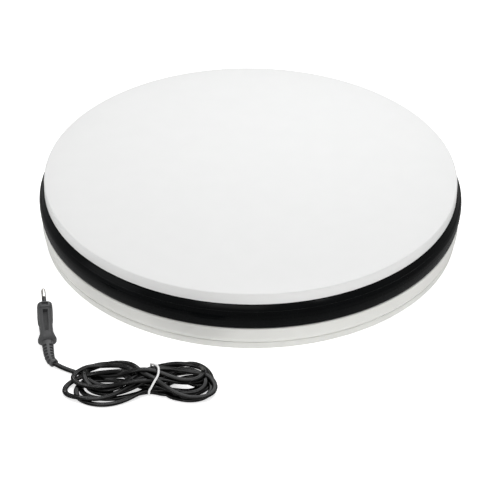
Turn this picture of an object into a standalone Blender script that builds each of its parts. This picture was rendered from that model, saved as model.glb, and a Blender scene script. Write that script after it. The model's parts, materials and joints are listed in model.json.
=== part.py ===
"""Mains-driven turntable display stand, with its detachable lead.

Everything is in metres with +Z up. The origin is on the standing surface,
under the middle of the turntable. The rear of the base faces +Y.
"""

import math

import bmesh
import bpy
from mathutils import Matrix, Vector

# ---- Driving dimensions -------------------------------------------------
GAP = 0.0003
ROUND_STEPS = 64
SMALL_STEPS = 20
TINY_STEPS = 12
SCREW_STEPS = 8
ROLLER_STEPS = 16

TOP_Z = 0.0638
PLATE_R = 0.200
PLATE_EDGE = 0.0014
PLATE_THICK = 0.0058
SKIRT_THICK = 0.0028
SKIRT_Z = 0.0523
PLATE_BOSS_R = 0.045
PLATE_BOSS_DEPTH = 0.0034
PLATE_RIBS = 6
RIB_THICK = 0.0025
RIB_INNER_R = 0.042
RIB_OUTER_R = 0.148

RING_TOP_Z = 0.0517
RING_TOP_R = 0.2008
RING_BULGE_R = 0.2052
RING_BULGE_Z = 0.0415
RING_LOW_R = 0.2030
RING_LOW_Z = 0.0274
RING_INNER_R = 0.1980
RING_LIP_R = 0.1940
RING_LIP_THICK = 0.0030
RING_POINTS = 7

SHELL_R = 0.2032
SHELL_TOP_Z = 0.0271
SHELL_EDGE = 0.0010
SHELL_CREASE_Z = 0.0155
SHELL_LOW_R = 0.2014
SHELL_LOW_Z = 0.0113
SHELL_WALL_INNER_R = 0.1997
SHELF_UNDER_Z = 0.0241
RIM_OUTER_R = 0.1977
RIM_INNER_R = 0.1952
RIM_TOP_Z = 0.0484

PAN_UNDER_Z = 0.0030
PAN_FLOOR_Z = 0.0070
PAN_PAD_Z = 0.0090
PAN_PAD_R = 0.036
PAN_TOP_Z = 0.0110
PAN_TOP_R = 0.2020
PAN_LOW_R = 0.2009
PAN_EDGE = 0.0010
PAN_WALL_INNER_R = 0.1989

FOOT_R = 0.012
FOOT_DRAFT = 0.0010
FOOT_ORBIT = 0.170
FOOT_COUNT = 4

PAN_SCREW_ORBIT = 0.1935
PAN_SCREW_ANGLES = (30.0, 150.0, 210.0, 330.0)
PAN_SCREW_TIP_Z = 0.0180
BOSS_R = 0.0048
BOSS_TOP_Z = 0.0255
SHANK_R = 0.0020
SHANK_HOLE_R = 0.00235
HEAD_R = 0.0035
HEAD_THICK = 0.0019
HEAD_HOLE_R = 0.0041
HEAD_HOLE_TOP_Z = 0.0055
BLIND_Z = 0.0040
SCREW_END_Z = 0.0043

SPINDLE_R = 0.0080
SPINDLE_FLANGE_R = 0.030
SPINDLE_FLANGE_Z = PAN_PAD_Z + GAP
SPINDLE_FLANGE_THICK = 0.0040
SPINDLE_SHOULDER_Z = 0.0480
SPINDLE_THREAD_R = 0.0060
SPINDLE_TOP_Z = 0.0572
SPINDLE_SCREWS = 3
SPINDLE_SCREW_ORBIT = 0.024
SPINDLE_SCREW_START = 60.0
SPINDLE_EDGE = 0.0006

THRUST_R = 0.0170
THRUST_THICK = 0.0030
BEARING_CLEAR = 0.00035

HUB_SLEEVE_R = 0.0180
HUB_FLANGE_R = 0.030
HUB_FLANGE_Z = 0.0500
HUB_POCKET_Z = 0.0479
HUB_POCKET_R = 0.0130

GEAR_MODULE = 0.0015
GEAR_TEETH = 60
PINION_TEETH = 15
PRESSURE_ANGLE = math.radians(20.0)
GEAR_BACKLASH = 0.00035
GEAR_CLEARANCE = 0.25
GEAR_Z = 0.0417
GEAR_THICK = 0.0080
GEAR_SPREAD = 0.00015
PLATE_SCREW_TIP_Z = 0.0568
PLATE_HOLE_TOP_Z = 0.0572

WASHER_R = 0.0124
WASHER_Z = SPINDLE_SHOULDER_Z + GAP
WASHER_THICK = 0.0015
NUT_Z = 0.0501
NUT_THICK = 0.0060
NUT_CORNER_R = 0.0104
NUT_SIDES = 6

MOTOR_R = 0.0245
MOTOR_Z = 0.0090
GEARBOX_R = 0.0250
GEARBOX_Z = 0.0223
GEARBOX_TOP_Z = 0.0360
MOTOR_EDGE = 0.0010
OUTPUT_SHAFT_R = 0.0030
OUTPUT_SHAFT_TOP_Z = 0.0505
BRACKET_TOP_Z = 0.0383
BRACKET_SHEET = 0.0020
BRACKET_HALF_X = 0.0300
BRACKET_FOOT_X = 0.0430
BRACKET_HALF_Y = 0.0200
BRACKET_HOLE_R = 0.0060
BRACKET_SCREW_X = 0.0370
MOTOR_SCREW_X = 0.0180
MOTOR_SCREW_TIP_Z = 0.0300
MOTOR_HOLE_Z = 0.0296

ROLLER_COUNT = 4
ROLLER_ORBIT = 0.165
ROLLER_R = 0.0120
ROLLER_HALF_WIDTH = 0.0050
ROLLER_EDGE = 0.0008
AXLE_R = 0.0020
AXLE_HALF_LENGTH = 0.0120
STAND_HALF_RADIAL = 0.0110
STAND_HALF_TANGENT = 0.0080
STAND_BASE_THICK = 0.0040
STAND_CHEEK_IN = 0.0065
STAND_CHEEK_OUT = 0.0095
STAND_TOP_Z = 0.0507

PANEL_HALF_X = 0.0410
PANEL_Y = 0.1964
PANEL_THICK = 0.0025
PANEL_LOW_Z = 0.0116
PANEL_TOP_Z = 0.0253
PANEL_MID_Z = (PANEL_LOW_Z + PANEL_TOP_Z) / 2
BEZEL_Y = PANEL_Y + PANEL_THICK + GAP
BEZEL_THICK = 0.0017
BEZEL_HEIGHT = 0.0126

INLET_X = -0.018
INLET_BEZEL_WIDTH = 0.0220
INLET_WIDTH = 0.0186
INLET_HEIGHT = 0.0104
INLET_BACK_Y = 0.1855
INLET_RECESS_Y = 0.1875
RECESS_WIDTH = 0.0166
RECESS_HEIGHT = 0.0082
CONTACT_SPACING = 0.0086
CONTACT_R = 0.0012
CONTACT_TAIL_Y = 0.1800
CONTACT_TIP_Y = 0.1975
CONTACT_NOSE = 0.0006

SWITCH_X = 0.018
SWITCH_BEZEL_WIDTH = 0.0196
SWITCH_WIDTH = 0.0168
SWITCH_BACK_Y = 0.1870
SWITCH_POCKET_Y = 0.1895
SWITCH_OPEN_WIDTH = 0.0148
SWITCH_OPEN_HEIGHT = 0.0086
ROCKER_PIVOT_Y = 0.1960
ROCKER_HEIGHT = 0.0080
ROCKER_HALF_WIDTH = 0.0063
ROCKER_CROWN = 0.0056
ROCKER_DISH = 0.0042
ROCKER_SHOULDER = 0.0010
ROCKER_HEEL_HALF = 0.0026
ROCKER_HEEL = 0.0046
ROCKER_REST_TILT = math.radians(-10.0)

WIRE_R = 0.0008
WIRE_SIDES = 2
WIRE_STEP = 0.0070
# Each wire's bends between its two ends, as x, y and the height over the pan's floor.
NEUTRAL_BENDS = (
    (-0.0223, 0.168, 0.0070),
    (-0.020, 0.150, 0.0016),
    (-0.012, 0.115, 0.0016),
    (-0.006, 0.093, 0.0050),
)
LIVE_BENDS = (
    (-0.0137, 0.170, 0.0080),
    (-0.004, 0.160, 0.0024),
    (0.008, 0.168, 0.0070),
    (0.013, 0.179, 0.01145),
)
SWITCHED_BENDS = (
    (0.0225, 0.176, 0.0090),
    (0.021, 0.158, 0.0016),
    (0.013, 0.120, 0.0016),
    (0.006, 0.094, 0.0050),
)
LIVE_END_X = 0.0135
SWITCHED_END_X = 0.0225
MOTOR_TAG_X = 0.0050

LEAD_THICK = 0.0032
LEAD_ROUTE = (
    (-0.1756, -0.2267, 0.0034),
    (-0.1708, -0.2298, 0.0026),
    (-0.1652, -0.2330, 0.0023),
    (-0.1585, -0.2369, 0.0023),
    (-0.1490, -0.2435, 0.0023),
)
HANK_LEFT_X = -0.158
HANK_RIGHT_X = -0.029
HANK_MID_Y = -0.2543
HANK_TIE_X = -0.0862
HANK_WAIST = 0.0135
HANK_LOBE = 0.0275
HANK_LOBE_PEAK = 1.3
HANK_LOBE_POWER = 1.5
HANK_END_POWER = 6
HANK_Z = GAP
HANK_HEIGHT = 0.0150
HANK_POINTS = 30
TIE_THICK = 0.0010
TIE_HALF_WIDTH = 0.0008

PLUG_FACE = Vector((-0.1889, -0.1681))
PLUG_HEADING = math.radians(98.0)
PLUG_WIDTH = 0.0353
PLUG_DEPTH = 0.0137
PLUG_NOSE = 0.0060
PLUG_BODY = 0.0355
PLUG_REAR_WIDTH = 0.0160
PLUG_REAR_DEPTH = 0.0105
PLUG_SHOULDER = 0.0078
PLUG_SHOULDER_WIDTH = 0.0328
PLUG_SHOULDER_DEPTH = 0.0118
PLUG_WAIST = 0.0223
PLUG_WAIST_WIDTH = 0.0228
PLUG_WAIST_DEPTH = 0.0115
PLUG_NECK = 0.0331
# The relief's bend: a place behind the pin face, its width and depth, and its pitch and yaw in degrees.
RELIEF_BEND = (
    ((-0.0355, 0.0000, 0.0000), (0.0105, 0.0100), (0.0, 0.0)),
    ((-0.0424, -0.0001, 0.0003), (0.0092, 0.0090), (-7.0, 2.0)),
    ((-0.0488, -0.0004, 0.0015), (0.0074, 0.0074), (-13.0, 6.0)),
    ((-0.0560, -0.0014, 0.0036), (0.0066, 0.0066), (-17.0, 20.0)),
    ((-0.0612, -0.0043, 0.0053), (0.0062, 0.0062), (-19.6, 46.0)),
)
PIN_SPACING = 0.0190
PIN_R = 0.0020
PIN_LENGTH = 0.0190
PIN_SUNK = 0.0050
PIN_NOSE = 0.0010
PIN_HOLE_R = PIN_R + GAP
PLUG_REST_Z = 0.0003
# The plug rests on the rear corner of its collar and the corner of its rear end.
PLUG_PITCH = math.atan2((PLUG_WIDTH - PLUG_REAR_WIDTH) / 2, PLUG_NECK - PLUG_NOSE)
PLUG_HEIGHT = PLUG_REST_Z + PLUG_NOSE * math.sin(PLUG_PITCH) + PLUG_WIDTH / 2 * math.cos(PLUG_PITCH)

CONNECTOR_FRONT = Vector((-0.1100, -0.2480, 0.0083))
CONNECTOR_HEADING = math.radians(171.0)
CONNECTOR_NOSE = 0.0130
CONNECTOR_BODY = 0.0140
CONNECTOR_RELIEF = 0.0210
CONNECTOR_WIDTH = 0.0158
CONNECTOR_DEPTH = 0.0074
CONNECTOR_GRIP_WIDTH = 0.0176
CONNECTOR_GRIP_DEPTH = 0.0088
CONNECTOR_GRIP_STEP = 0.0006
CONNECTOR_REAR_WIDTH = 0.0141
CONNECTOR_TIP_WIDTH = 0.0062
CONNECTOR_TIP_DEPTH = 0.0044
CONNECTOR_ROOM = 0.0020
SOCKET_R = 0.0015
SOCKET_DEPTH = 0.0110

# Colour, roughness, metallic.
FINISHES = {
    "white_plastic": ((0.86, 0.86, 0.84), 0.45, 0.0),
    "gloss_black": ((0.012, 0.012, 0.013), 0.22, 0.0),
    "black_plastic": ((0.03, 0.03, 0.032), 0.5, 0.0),
    "black_rubber": ((0.025, 0.025, 0.025), 0.8, 0.0),
    "steel": ((0.60, 0.60, 0.61), 0.35, 1.0),
    "zinc": ((0.66, 0.66, 0.63), 0.4, 1.0),
    "nylon": ((0.80, 0.79, 0.74), 0.5, 0.0),
    "brass": ((0.78, 0.60, 0.30), 0.35, 1.0),
    "nickel": ((0.72, 0.71, 0.68), 0.2, 1.0),
    "red_wire": ((0.45, 0.05, 0.04), 0.5, 0.0),
    "blue_wire": ((0.05, 0.12, 0.45), 0.5, 0.0),
    "cord_black": ((0.02, 0.02, 0.02), 0.55, 0.0),
}


# ---- Helpers ------------------------------------------------------------
def clear_scene():
    for obj in list(bpy.data.objects):
        bpy.data.objects.remove(obj, do_unlink=True)


def finish(name):
    """The Principled material of this name, made once."""
    if name in bpy.data.materials:
        return bpy.data.materials[name]
    colour, roughness, metallic = FINISHES[name]
    material = bpy.data.materials.new(name)
    material.use_nodes = True
    shader = material.node_tree.nodes["Principled BSDF"]
    shader.inputs["Base Color"].default_value = (*colour, 1.0)
    shader.inputs["Roughness"].default_value = roughness
    shader.inputs["Metallic"].default_value = metallic
    return material


def add_object(name, bm, material=None, smooth=False):
    """Makes an object from a bmesh, with its faces turned outwards."""
    bmesh.ops.remove_doubles(bm, verts=bm.verts, dist=1e-6)
    bmesh.ops.recalc_face_normals(bm, faces=bm.faces)
    mesh = bpy.data.meshes.new(name)
    bm.to_mesh(mesh)
    bm.free()
    if smooth:
        mesh.shade_smooth()
        mesh.set_sharp_from_angle(angle=math.radians(35))
    if material:
        mesh.materials.append(finish(material))
    obj = bpy.data.objects.new(name, mesh)
    bpy.context.scene.collection.objects.link(obj)
    return obj


def joint_empty(name, location):
    """An empty on a joint's axis, for the pieces that turn about it."""
    empty = bpy.data.objects.new(name, None)
    empty.location = location
    bpy.context.scene.collection.objects.link(empty)
    return empty


def polar(radius, degrees, z=0.0):
    angle = math.radians(degrees)
    return Vector((radius * math.cos(angle), radius * math.sin(angle), z))


def edge_arc(centre_r, centre_z, radius, start, end, steps=3):
    """Points of a rounded edge in a turned profile, from start to end in degrees."""
    angles = [math.radians(start + (end - start) * i / steps) for i in range(steps + 1)]
    return [
        (centre_r + radius * math.cos(a), centre_z + radius * math.sin(a)) for a in angles
    ]


def turned(name, profile, material=None, steps=ROUND_STEPS, closed=True):
    """A solid of revolution about Z. An open profile starts and ends on the axis."""
    bm = bmesh.new()
    verts = [bm.verts.new((r, 0.0, z)) for r, z in profile]
    edges = [bm.edges.new(pair) for pair in zip(verts, verts[1:])]
    if closed:
        edges.append(bm.edges.new((verts[-1], verts[0])))
    bmesh.ops.spin(
        bm,
        geom=verts + edges,
        cent=(0.0, 0.0, 0.0),
        axis=(0.0, 0.0, 1.0),
        angle=2 * math.pi,
        steps=steps,
        use_merge=True,
    )
    return add_object(name, bm, material, smooth=True)


def rod_profile(radius, low, high, edge=0.0):
    """Profile of a rod with a bevelled edge at both ends."""
    if not edge:
        return [(0.0, high), (radius, high), (radius, low), (0.0, low)]
    return [
        (0.0, high),
        (radius - edge, high),
        (radius, high - edge),
        (radius, low + edge),
        (radius - edge, low),
        (0.0, low),
    ]


def rod(name, radius, low, high, material=None, steps=SMALL_STEPS, edge=0.0):
    return turned(name, rod_profile(radius, low, high, edge), material, steps, closed=False)


def washer(name, inner, outer, low, thick, material, steps=SMALL_STEPS):
    profile = [(outer, low + thick), (outer, low), (inner, low), (inner, low + thick)]
    return turned(name, profile, material, steps)


def block(name, low, high, material=None):
    """An axis-aligned box between two corners."""
    bm = bmesh.new()
    low, high = Vector(low), Vector(high)
    bmesh.ops.create_cube(bm, size=1.0)
    bmesh.ops.scale(bm, vec=high - low, verts=bm.verts)
    bmesh.ops.translate(bm, vec=(low + high) / 2, verts=bm.verts)
    return add_object(name, bm, material)


def extruded(name, outline, direction, material=None):
    """A closed outline of 3-D points, extruded along a vector."""
    bm = bmesh.new()
    face = bm.faces.new([bm.verts.new(p) for p in outline])
    grown = bmesh.ops.extrude_face_region(bm, geom=[face])["geom"]
    moved = [v for v in grown if isinstance(v, bmesh.types.BMVert)]
    bmesh.ops.translate(bm, vec=direction, verts=moved)
    return add_object(name, bm, material)


def lofted(name, rings, material=None, smooth=True):
    """Joins rings of points, each as long as the next, and caps both ends."""
    bm = bmesh.new()
    loops = [[bm.verts.new(p) for p in ring] for ring in rings]
    for near, far in zip(loops, loops[1:]):
        for i in range(len(near)):
            j = (i + 1) % len(near)
            bm.faces.new((near[i], near[j], far[j], far[i]))
    bm.faces.new(loops[0])
    bm.faces.new(loops[-1])
    return add_object(name, bm, material, smooth)


def stadium(width, height, steps=6):
    """Outline of a bar with round ends, in its own plane."""
    radius = height / 2
    reach = width / 2 - radius
    points = []
    for side, first in ((1, -90.0), (-1, 90.0)):
        for i in range(steps + 1):
            angle = math.radians(first + 180.0 * i / steps)
            across = side * reach + radius * math.cos(angle)
            points.append((across, radius * math.sin(angle)))
    return points


def boolean(target, cutter, operation="DIFFERENCE"):
    cutter.hide_render = True
    cutter.display_type = "WIRE"
    modifier = target.modifiers.new(operation.title(), "BOOLEAN")
    modifier.operation = operation
    modifier.solver = "EXACT"
    modifier.object = cutter
    return target


def drill(target, name, radius, low, high, place=(0.0, 0.0, 0.0), steps=SCREW_STEPS):
    """Cuts an upright round hole in the target."""
    cutter = rod(name, radius, low, high, steps=steps)
    cutter.location = place
    return boolean(target, cutter)


def cap_screw(name, place, head_low, tip):
    """A screw: its head stands on head_low, and its shank reaches to tip."""
    away = -1.0 if tip < head_low else 1.0
    head_far = head_low - away * HEAD_THICK
    profile = [(0.0, head_far), (HEAD_R, head_far), (HEAD_R, head_low)]
    profile += [(SHANK_R, head_low), (SHANK_R, tip), (0.0, tip)]
    screw = turned(name, profile, "zinc", SCREW_STEPS, closed=False)
    screw.location = place
    return screw


# ---- Gears --------------------------------------------------------------
def involute(base, radius):
    """Angle that an involute of this base circle turns through on its way out to radius."""
    slope = math.acos(base / radius)
    return math.tan(slope) - slope


def tooth_outline(teeth, thinning):
    """Outline of an involute spur gear about the origin, first tooth centred on +X."""
    pitch = GEAR_MODULE * teeth / 2
    base = pitch * math.cos(PRESSURE_ANGLE)
    tip = pitch + GEAR_MODULE
    root = pitch - GEAR_MODULE * (1 + GEAR_CLEARANCE)
    start = max(base, root)
    half_pitch = math.pi / (2 * teeth) - thinning / (2 * pitch) + involute(base, pitch)
    flank = [(r, half_pitch - involute(base, r)) for r in (start, tip)]
    if root < start:
        flank.insert(0, (root, flank[0][1]))
    points = []
    for tooth in range(teeth):
        middle = 2 * math.pi * tooth / teeth
        side = [(r, middle - a) for r, a in flank] + [(r, middle + a) for r, a in reversed(flank)]
        points += [Vector((r * math.cos(a), r * math.sin(a), 0.0)) for r, a in side]
    return points


def spur_gear(name, teeth, bore, material):
    gear = extruded(name, tooth_outline(teeth, GEAR_BACKLASH), (0.0, 0.0, GEAR_THICK), material)
    drill(gear, name + "_bore_cutter", bore, -GEAR_THICK, 2 * GEAR_THICK, steps=SMALL_STEPS)
    return gear


GEAR_CENTRES = GEAR_MODULE * (GEAR_TEETH + PINION_TEETH) / 2 + GEAR_SPREAD
MOTOR_PLACE = Vector((0.0, GEAR_CENTRES, 0.0))


# ---- Turning parts ------------------------------------------------------
def make_top_plate(axis):
    under = TOP_Z - PLATE_THICK
    boss = under - PLATE_BOSS_DEPTH
    inner = PLATE_R - SKIRT_THICK
    profile = [(0.0, TOP_Z)]
    profile += edge_arc(PLATE_R - PLATE_EDGE, TOP_Z - PLATE_EDGE, PLATE_EDGE, 90, 0)
    profile += [(PLATE_R, SKIRT_Z), (inner, SKIRT_Z), (inner, under)]
    profile += [(PLATE_BOSS_R, under), (PLATE_BOSS_R, boss), (HUB_POCKET_R, boss)]
    profile += [(HUB_POCKET_R, under), (0.0, under)]
    plate = turned("top_plate", profile, "white_plastic", closed=False)
    for i in range(PLATE_RIBS):
        low = (RIB_INNER_R, -RIB_THICK / 2, boss)
        high = (RIB_OUTER_R, RIB_THICK / 2, under + PLATE_THICK / 2)
        rib = block(f"plate_rib_{i + 1}_cutter", low, high)
        rib.rotation_euler.z = 2 * math.pi * (i + 0.5) / PLATE_RIBS
        boolean(plate, rib, "UNION")
    for i, place in enumerate(plate_screw_places()):
        drill(plate, f"plate_hole_{i + 1}_cutter", SHANK_HOLE_R, GEAR_Z, PLATE_HOLE_TOP_Z, place)
    plate.parent = axis


def plate_screw_places():
    return [polar(SPINDLE_SCREW_ORBIT, 360.0 / SPINDLE_SCREWS * i) for i in range(SPINDLE_SCREWS)]


def spindle_screw_places():
    step = 360.0 / SPINDLE_SCREWS
    return [polar(SPINDLE_SCREW_ORBIT, SPINDLE_SCREW_START + step * i) for i in range(SPINDLE_SCREWS)]


def make_hub(axis):
    bore = SPINDLE_R + BEARING_CLEAR
    low = SPINDLE_FLANGE_Z + SPINDLE_FLANGE_THICK + THRUST_THICK + 2 * GAP
    high = TOP_Z - PLATE_THICK - PLATE_BOSS_DEPTH - GAP
    profile = [(HUB_FLANGE_R, high), (HUB_FLANGE_R, HUB_FLANGE_Z), (HUB_SLEEVE_R, HUB_FLANGE_Z)]
    profile += [(HUB_SLEEVE_R, low), (bore, low), (bore, HUB_POCKET_Z)]
    profile += [(HUB_POCKET_R, HUB_POCKET_Z), (HUB_POCKET_R, high)]
    hub = turned("bearing_hub", profile, "nylon", SMALL_STEPS * 2)
    for i, place in enumerate(plate_screw_places()):
        drill(hub, f"hub_hole_{i + 1}_cutter", SHANK_HOLE_R, GEAR_Z, TOP_Z, place)
    hub.parent = axis


def make_drive_gear(axis):
    gear = spur_gear("drive_gear", GEAR_TEETH, HUB_SLEEVE_R + GAP, "nylon")
    for i, place in enumerate(plate_screw_places()):
        drill(gear, f"gear_hole_{i + 1}_cutter", SHANK_HOLE_R, -GEAR_THICK, 2 * GEAR_THICK, place)
    gear.location.z = GEAR_Z
    gear.parent = axis
    for cutter in gear.modifiers:
        cutter.object.parent = gear
    for i, place in enumerate(plate_screw_places()):
        screw = cap_screw(f"plate_screw_{i + 1}", place, GEAR_Z - GAP, PLATE_SCREW_TIP_Z)
        screw.parent = axis


def make_pinion(axis):
    """The pinion is turned so that a gap of its teeth faces the drive gear's tooth."""
    pinion = spur_gear("pinion", PINION_TEETH, OUTPUT_SHAFT_R + GAP, "brass")
    pinion.modifiers[0].object.parent = pinion
    pinion.location.z = GEAR_Z
    pinion.rotation_euler.z = pinion_turn()
    pinion.parent = axis
    shaft = rod("output_shaft", OUTPUT_SHAFT_R, GEARBOX_TOP_Z + GAP, OUTPUT_SHAFT_TOP_Z, "steel", TINY_STEPS)
    shaft.parent = axis


def pinion_turn():
    """Turns a tooth gap of the pinion to -Y where a tooth of the gear points to +Y."""
    return -math.pi / 2 + math.pi / PINION_TEETH


# ---- Bearing and spindle ------------------------------------------------
def make_spindle():
    top = SPINDLE_FLANGE_Z + SPINDLE_FLANGE_THICK
    edge = SPINDLE_EDGE
    profile = [(0.0, SPINDLE_TOP_Z), (SPINDLE_THREAD_R - edge, SPINDLE_TOP_Z)]
    profile += [(SPINDLE_THREAD_R, SPINDLE_TOP_Z - edge), (SPINDLE_THREAD_R, SPINDLE_SHOULDER_Z)]
    profile += [(SPINDLE_R, SPINDLE_SHOULDER_Z), (SPINDLE_R, top), (SPINDLE_FLANGE_R, top)]
    profile += [(SPINDLE_FLANGE_R, SPINDLE_FLANGE_Z), (0.0, SPINDLE_FLANGE_Z)]
    spindle = turned("spindle", profile, "steel", SMALL_STEPS, closed=False)
    for i, place in enumerate(spindle_screw_places()):
        drill(spindle, f"spindle_hole_{i + 1}_cutter", SHANK_HOLE_R, 0.0, 2 * top, place)
        cap_screw(f"spindle_screw_{i + 1}", place, top + GAP, SCREW_END_Z)
    washer("thrust_washer", SPINDLE_R + BEARING_CLEAR, THRUST_R, top + GAP, THRUST_THICK, "nylon")
    thread_clear = SPINDLE_THREAD_R + BEARING_CLEAR
    washer("retaining_washer", thread_clear, WASHER_R, WASHER_Z, WASHER_THICK, "zinc")
    nut = rod("retaining_nut", NUT_CORNER_R, NUT_Z, NUT_Z + NUT_THICK, "zinc", NUT_SIDES)
    drill(nut, "nut_bore_cutter", thread_clear, 0.0, TOP_Z, steps=SMALL_STEPS)


# ---- Motor --------------------------------------------------------------
def make_motor():
    can = rod("motor_can", MOTOR_R, MOTOR_Z, GEARBOX_Z - GAP, "zinc", SMALL_STEPS * 2, MOTOR_EDGE)
    box = rod("gearbox", GEARBOX_R, GEARBOX_Z, GEARBOX_TOP_Z, "black_plastic", SMALL_STEPS * 2, MOTOR_EDGE)
    can.location = MOTOR_PLACE
    box.location = MOTOR_PLACE
    for side in (-1, 1):
        place = MOTOR_PLACE + Vector((side * MOTOR_SCREW_X, 0.0, 0.0))
        tag = "left" if side < 0 else "right"
        drill(box, f"gearbox_hole_{tag}_cutter", SHANK_HOLE_R, MOTOR_HOLE_Z, TOP_Z, place)
        cap_screw(f"motor_screw_{tag}", place, BRACKET_TOP_Z + GAP, MOTOR_SCREW_TIP_Z)


def make_motor_bracket():
    """One strip of sheet, bent down at both sides and out again into two feet."""
    foot = PAN_FLOOR_Z + GAP
    inner = BRACKET_HALF_X - BRACKET_SHEET
    half = [
        (BRACKET_HALF_X, BRACKET_TOP_Z),
        (BRACKET_HALF_X, foot + BRACKET_SHEET),
        (BRACKET_FOOT_X, foot + BRACKET_SHEET),
        (BRACKET_FOOT_X, foot),
        (inner, foot),
        (inner, BRACKET_TOP_Z - BRACKET_SHEET),
    ]
    outline = half + [(-x, z) for x, z in reversed(half)]
    near = MOTOR_PLACE.y - BRACKET_HALF_Y
    points = [(x, near, z) for x, z in outline]
    bracket = extruded("motor_bracket", points, (0.0, 2 * BRACKET_HALF_Y, 0.0), "steel")
    hole_low = GEARBOX_TOP_Z - GEARBOX_Z
    drill(bracket, "bracket_shaft_cutter", BRACKET_HOLE_R, hole_low, TOP_Z, MOTOR_PLACE, SMALL_STEPS)
    for side in (-1, 1):
        tag = "left" if side < 0 else "right"
        motor_place = MOTOR_PLACE + Vector((side * MOTOR_SCREW_X, 0.0, 0.0))
        drill(bracket, f"bracket_motor_{tag}_cutter", SHANK_HOLE_R, hole_low, TOP_Z, motor_place)
        foot_place = MOTOR_PLACE + Vector((side * BRACKET_SCREW_X, 0.0, 0.0))
        drill(bracket, f"bracket_foot_{tag}_cutter", SHANK_HOLE_R, 0.0, TOP_Z, foot_place)
        cap_screw(f"bracket_screw_{tag}", foot_place, foot + BRACKET_SHEET + GAP, SCREW_END_Z)


# ---- Support rollers ----------------------------------------------------
def make_roller_set(index):
    """A roller under the plate's track, on an axle that points out from the centre."""
    angle = 45.0 + 360.0 / ROLLER_COUNT * index
    height = TOP_Z - PLATE_THICK - GAP - ROLLER_R
    place = polar(ROLLER_ORBIT, angle, height)
    lay_out = Matrix.Rotation(math.radians(angle), 4, "Z") @ Matrix.Rotation(math.pi / 2, 4, "Y")

    axis = joint_empty(f"roller_{index + 1}_axis", place)
    axis.rotation_euler = lay_out.to_euler()
    edge = ROLLER_R - ROLLER_EDGE
    half = ROLLER_HALF_WIDTH
    profile = [(edge, half), (ROLLER_R, half - ROLLER_EDGE), (ROLLER_R, ROLLER_EDGE - half)]
    profile += [(edge, -half), (AXLE_R + BEARING_CLEAR, -half), (AXLE_R + BEARING_CLEAR, half)]
    roller = turned(f"roller_{index + 1}", profile, "black_rubber", ROLLER_STEPS)
    roller.parent = axis

    axle = rod(f"roller_axle_{index + 1}", AXLE_R, -AXLE_HALF_LENGTH, AXLE_HALF_LENGTH, "steel", TINY_STEPS)
    axle.location = place
    axle.rotation_euler = lay_out.to_euler()
    make_roller_stand(index, angle, height, axle)


def make_roller_stand(index, angle, height, axle):
    foot = PAN_FLOOR_Z + GAP
    base = foot + STAND_BASE_THICK
    half = [
        (STAND_HALF_RADIAL, foot),
        (STAND_HALF_RADIAL, base),
        (STAND_CHEEK_OUT, base),
        (STAND_CHEEK_OUT, STAND_TOP_Z),
        (STAND_CHEEK_IN, STAND_TOP_Z),
        (STAND_CHEEK_IN, base),
    ]
    outline = half + [(-r, z) for r, z in reversed(half)]
    points = [(r, -STAND_HALF_TANGENT, z) for r, z in outline]
    name = f"roller_stand_{index + 1}"
    stand = extruded(name, points, (0.0, 2 * STAND_HALF_TANGENT, 0.0), "black_plastic")
    stand.location = polar(ROLLER_ORBIT, angle)
    stand.rotation_euler.z = math.radians(angle)
    reach = 2 * AXLE_HALF_LENGTH
    cutter = rod(f"stand_hole_{index + 1}_cutter", AXLE_R + GAP, -reach, reach, steps=TINY_STEPS)
    cutter.location = polar(ROLLER_ORBIT, angle, height)
    cutter.rotation_euler = axle.rotation_euler
    boolean(stand, cutter)


# ---- Base ---------------------------------------------------------------
def ring_outer_profile():
    """The ring's bulged side: a flatter curve below its widest point than above it."""
    points = []
    for i in range(RING_POINTS):
        z = RING_TOP_Z + (RING_LOW_Z - RING_TOP_Z) * i / (RING_POINTS - 1)
        end_r, end_z = (RING_TOP_R, RING_TOP_Z) if z > RING_BULGE_Z else (RING_LOW_R, RING_LOW_Z)
        share = (z - RING_BULGE_Z) / (end_z - RING_BULGE_Z)
        points.append((RING_BULGE_R - (RING_BULGE_R - end_r) * share**2, z))
    return points


def make_bumper_ring():
    lip_z = RING_TOP_Z - RING_LIP_THICK
    profile = ring_outer_profile()
    profile += [(RING_INNER_R, RING_LOW_Z), (RING_INNER_R, lip_z), (RING_LIP_R, lip_z)]
    profile += [(RING_LIP_R, RING_TOP_Z)]
    turned("bumper_ring", profile, "gloss_black")


def pan_screw_places():
    return [polar(PAN_SCREW_ORBIT, angle) for angle in PAN_SCREW_ANGLES]


def make_base_shell():
    profile = [(RIM_INNER_R, RIM_TOP_Z), (RIM_OUTER_R, RIM_TOP_Z), (RIM_OUTER_R, SHELL_TOP_Z)]
    profile += edge_arc(SHELL_R - SHELL_EDGE, SHELL_TOP_Z - SHELL_EDGE, SHELL_EDGE, 90, 0)
    profile += [(SHELL_R, SHELL_CREASE_Z), (SHELL_LOW_R, SHELL_LOW_Z)]
    profile += [(PAN_WALL_INNER_R, SHELL_LOW_Z), (SHELL_WALL_INNER_R, SHELL_CREASE_Z)]
    profile += [(SHELL_WALL_INNER_R, SHELF_UNDER_Z), (RIM_INNER_R, SHELF_UNDER_Z)]
    shell = turned("base_shell", profile, "white_plastic")
    for i, place in enumerate(pan_screw_places()):
        boss = rod(f"shell_boss_{i + 1}_cutter", BOSS_R, PAN_FLOOR_Z + GAP, BOSS_TOP_Z, steps=SMALL_STEPS)
        boss.location = place
        boolean(shell, boss, "UNION")
        drill(shell, f"shell_hole_{i + 1}_cutter", SHANK_HOLE_R, 0.0, PAN_SCREW_TIP_Z + 2 * GAP, place)
    window_low = (-PANEL_HALF_X - GAP, PANEL_Y - 2 * PANEL_THICK, 0.0)
    window_high = (PANEL_HALF_X + GAP, SHELL_R + PANEL_THICK, PANEL_TOP_Z + GAP)
    boolean(shell, block("panel_window_cutter", window_low, window_high))


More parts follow.
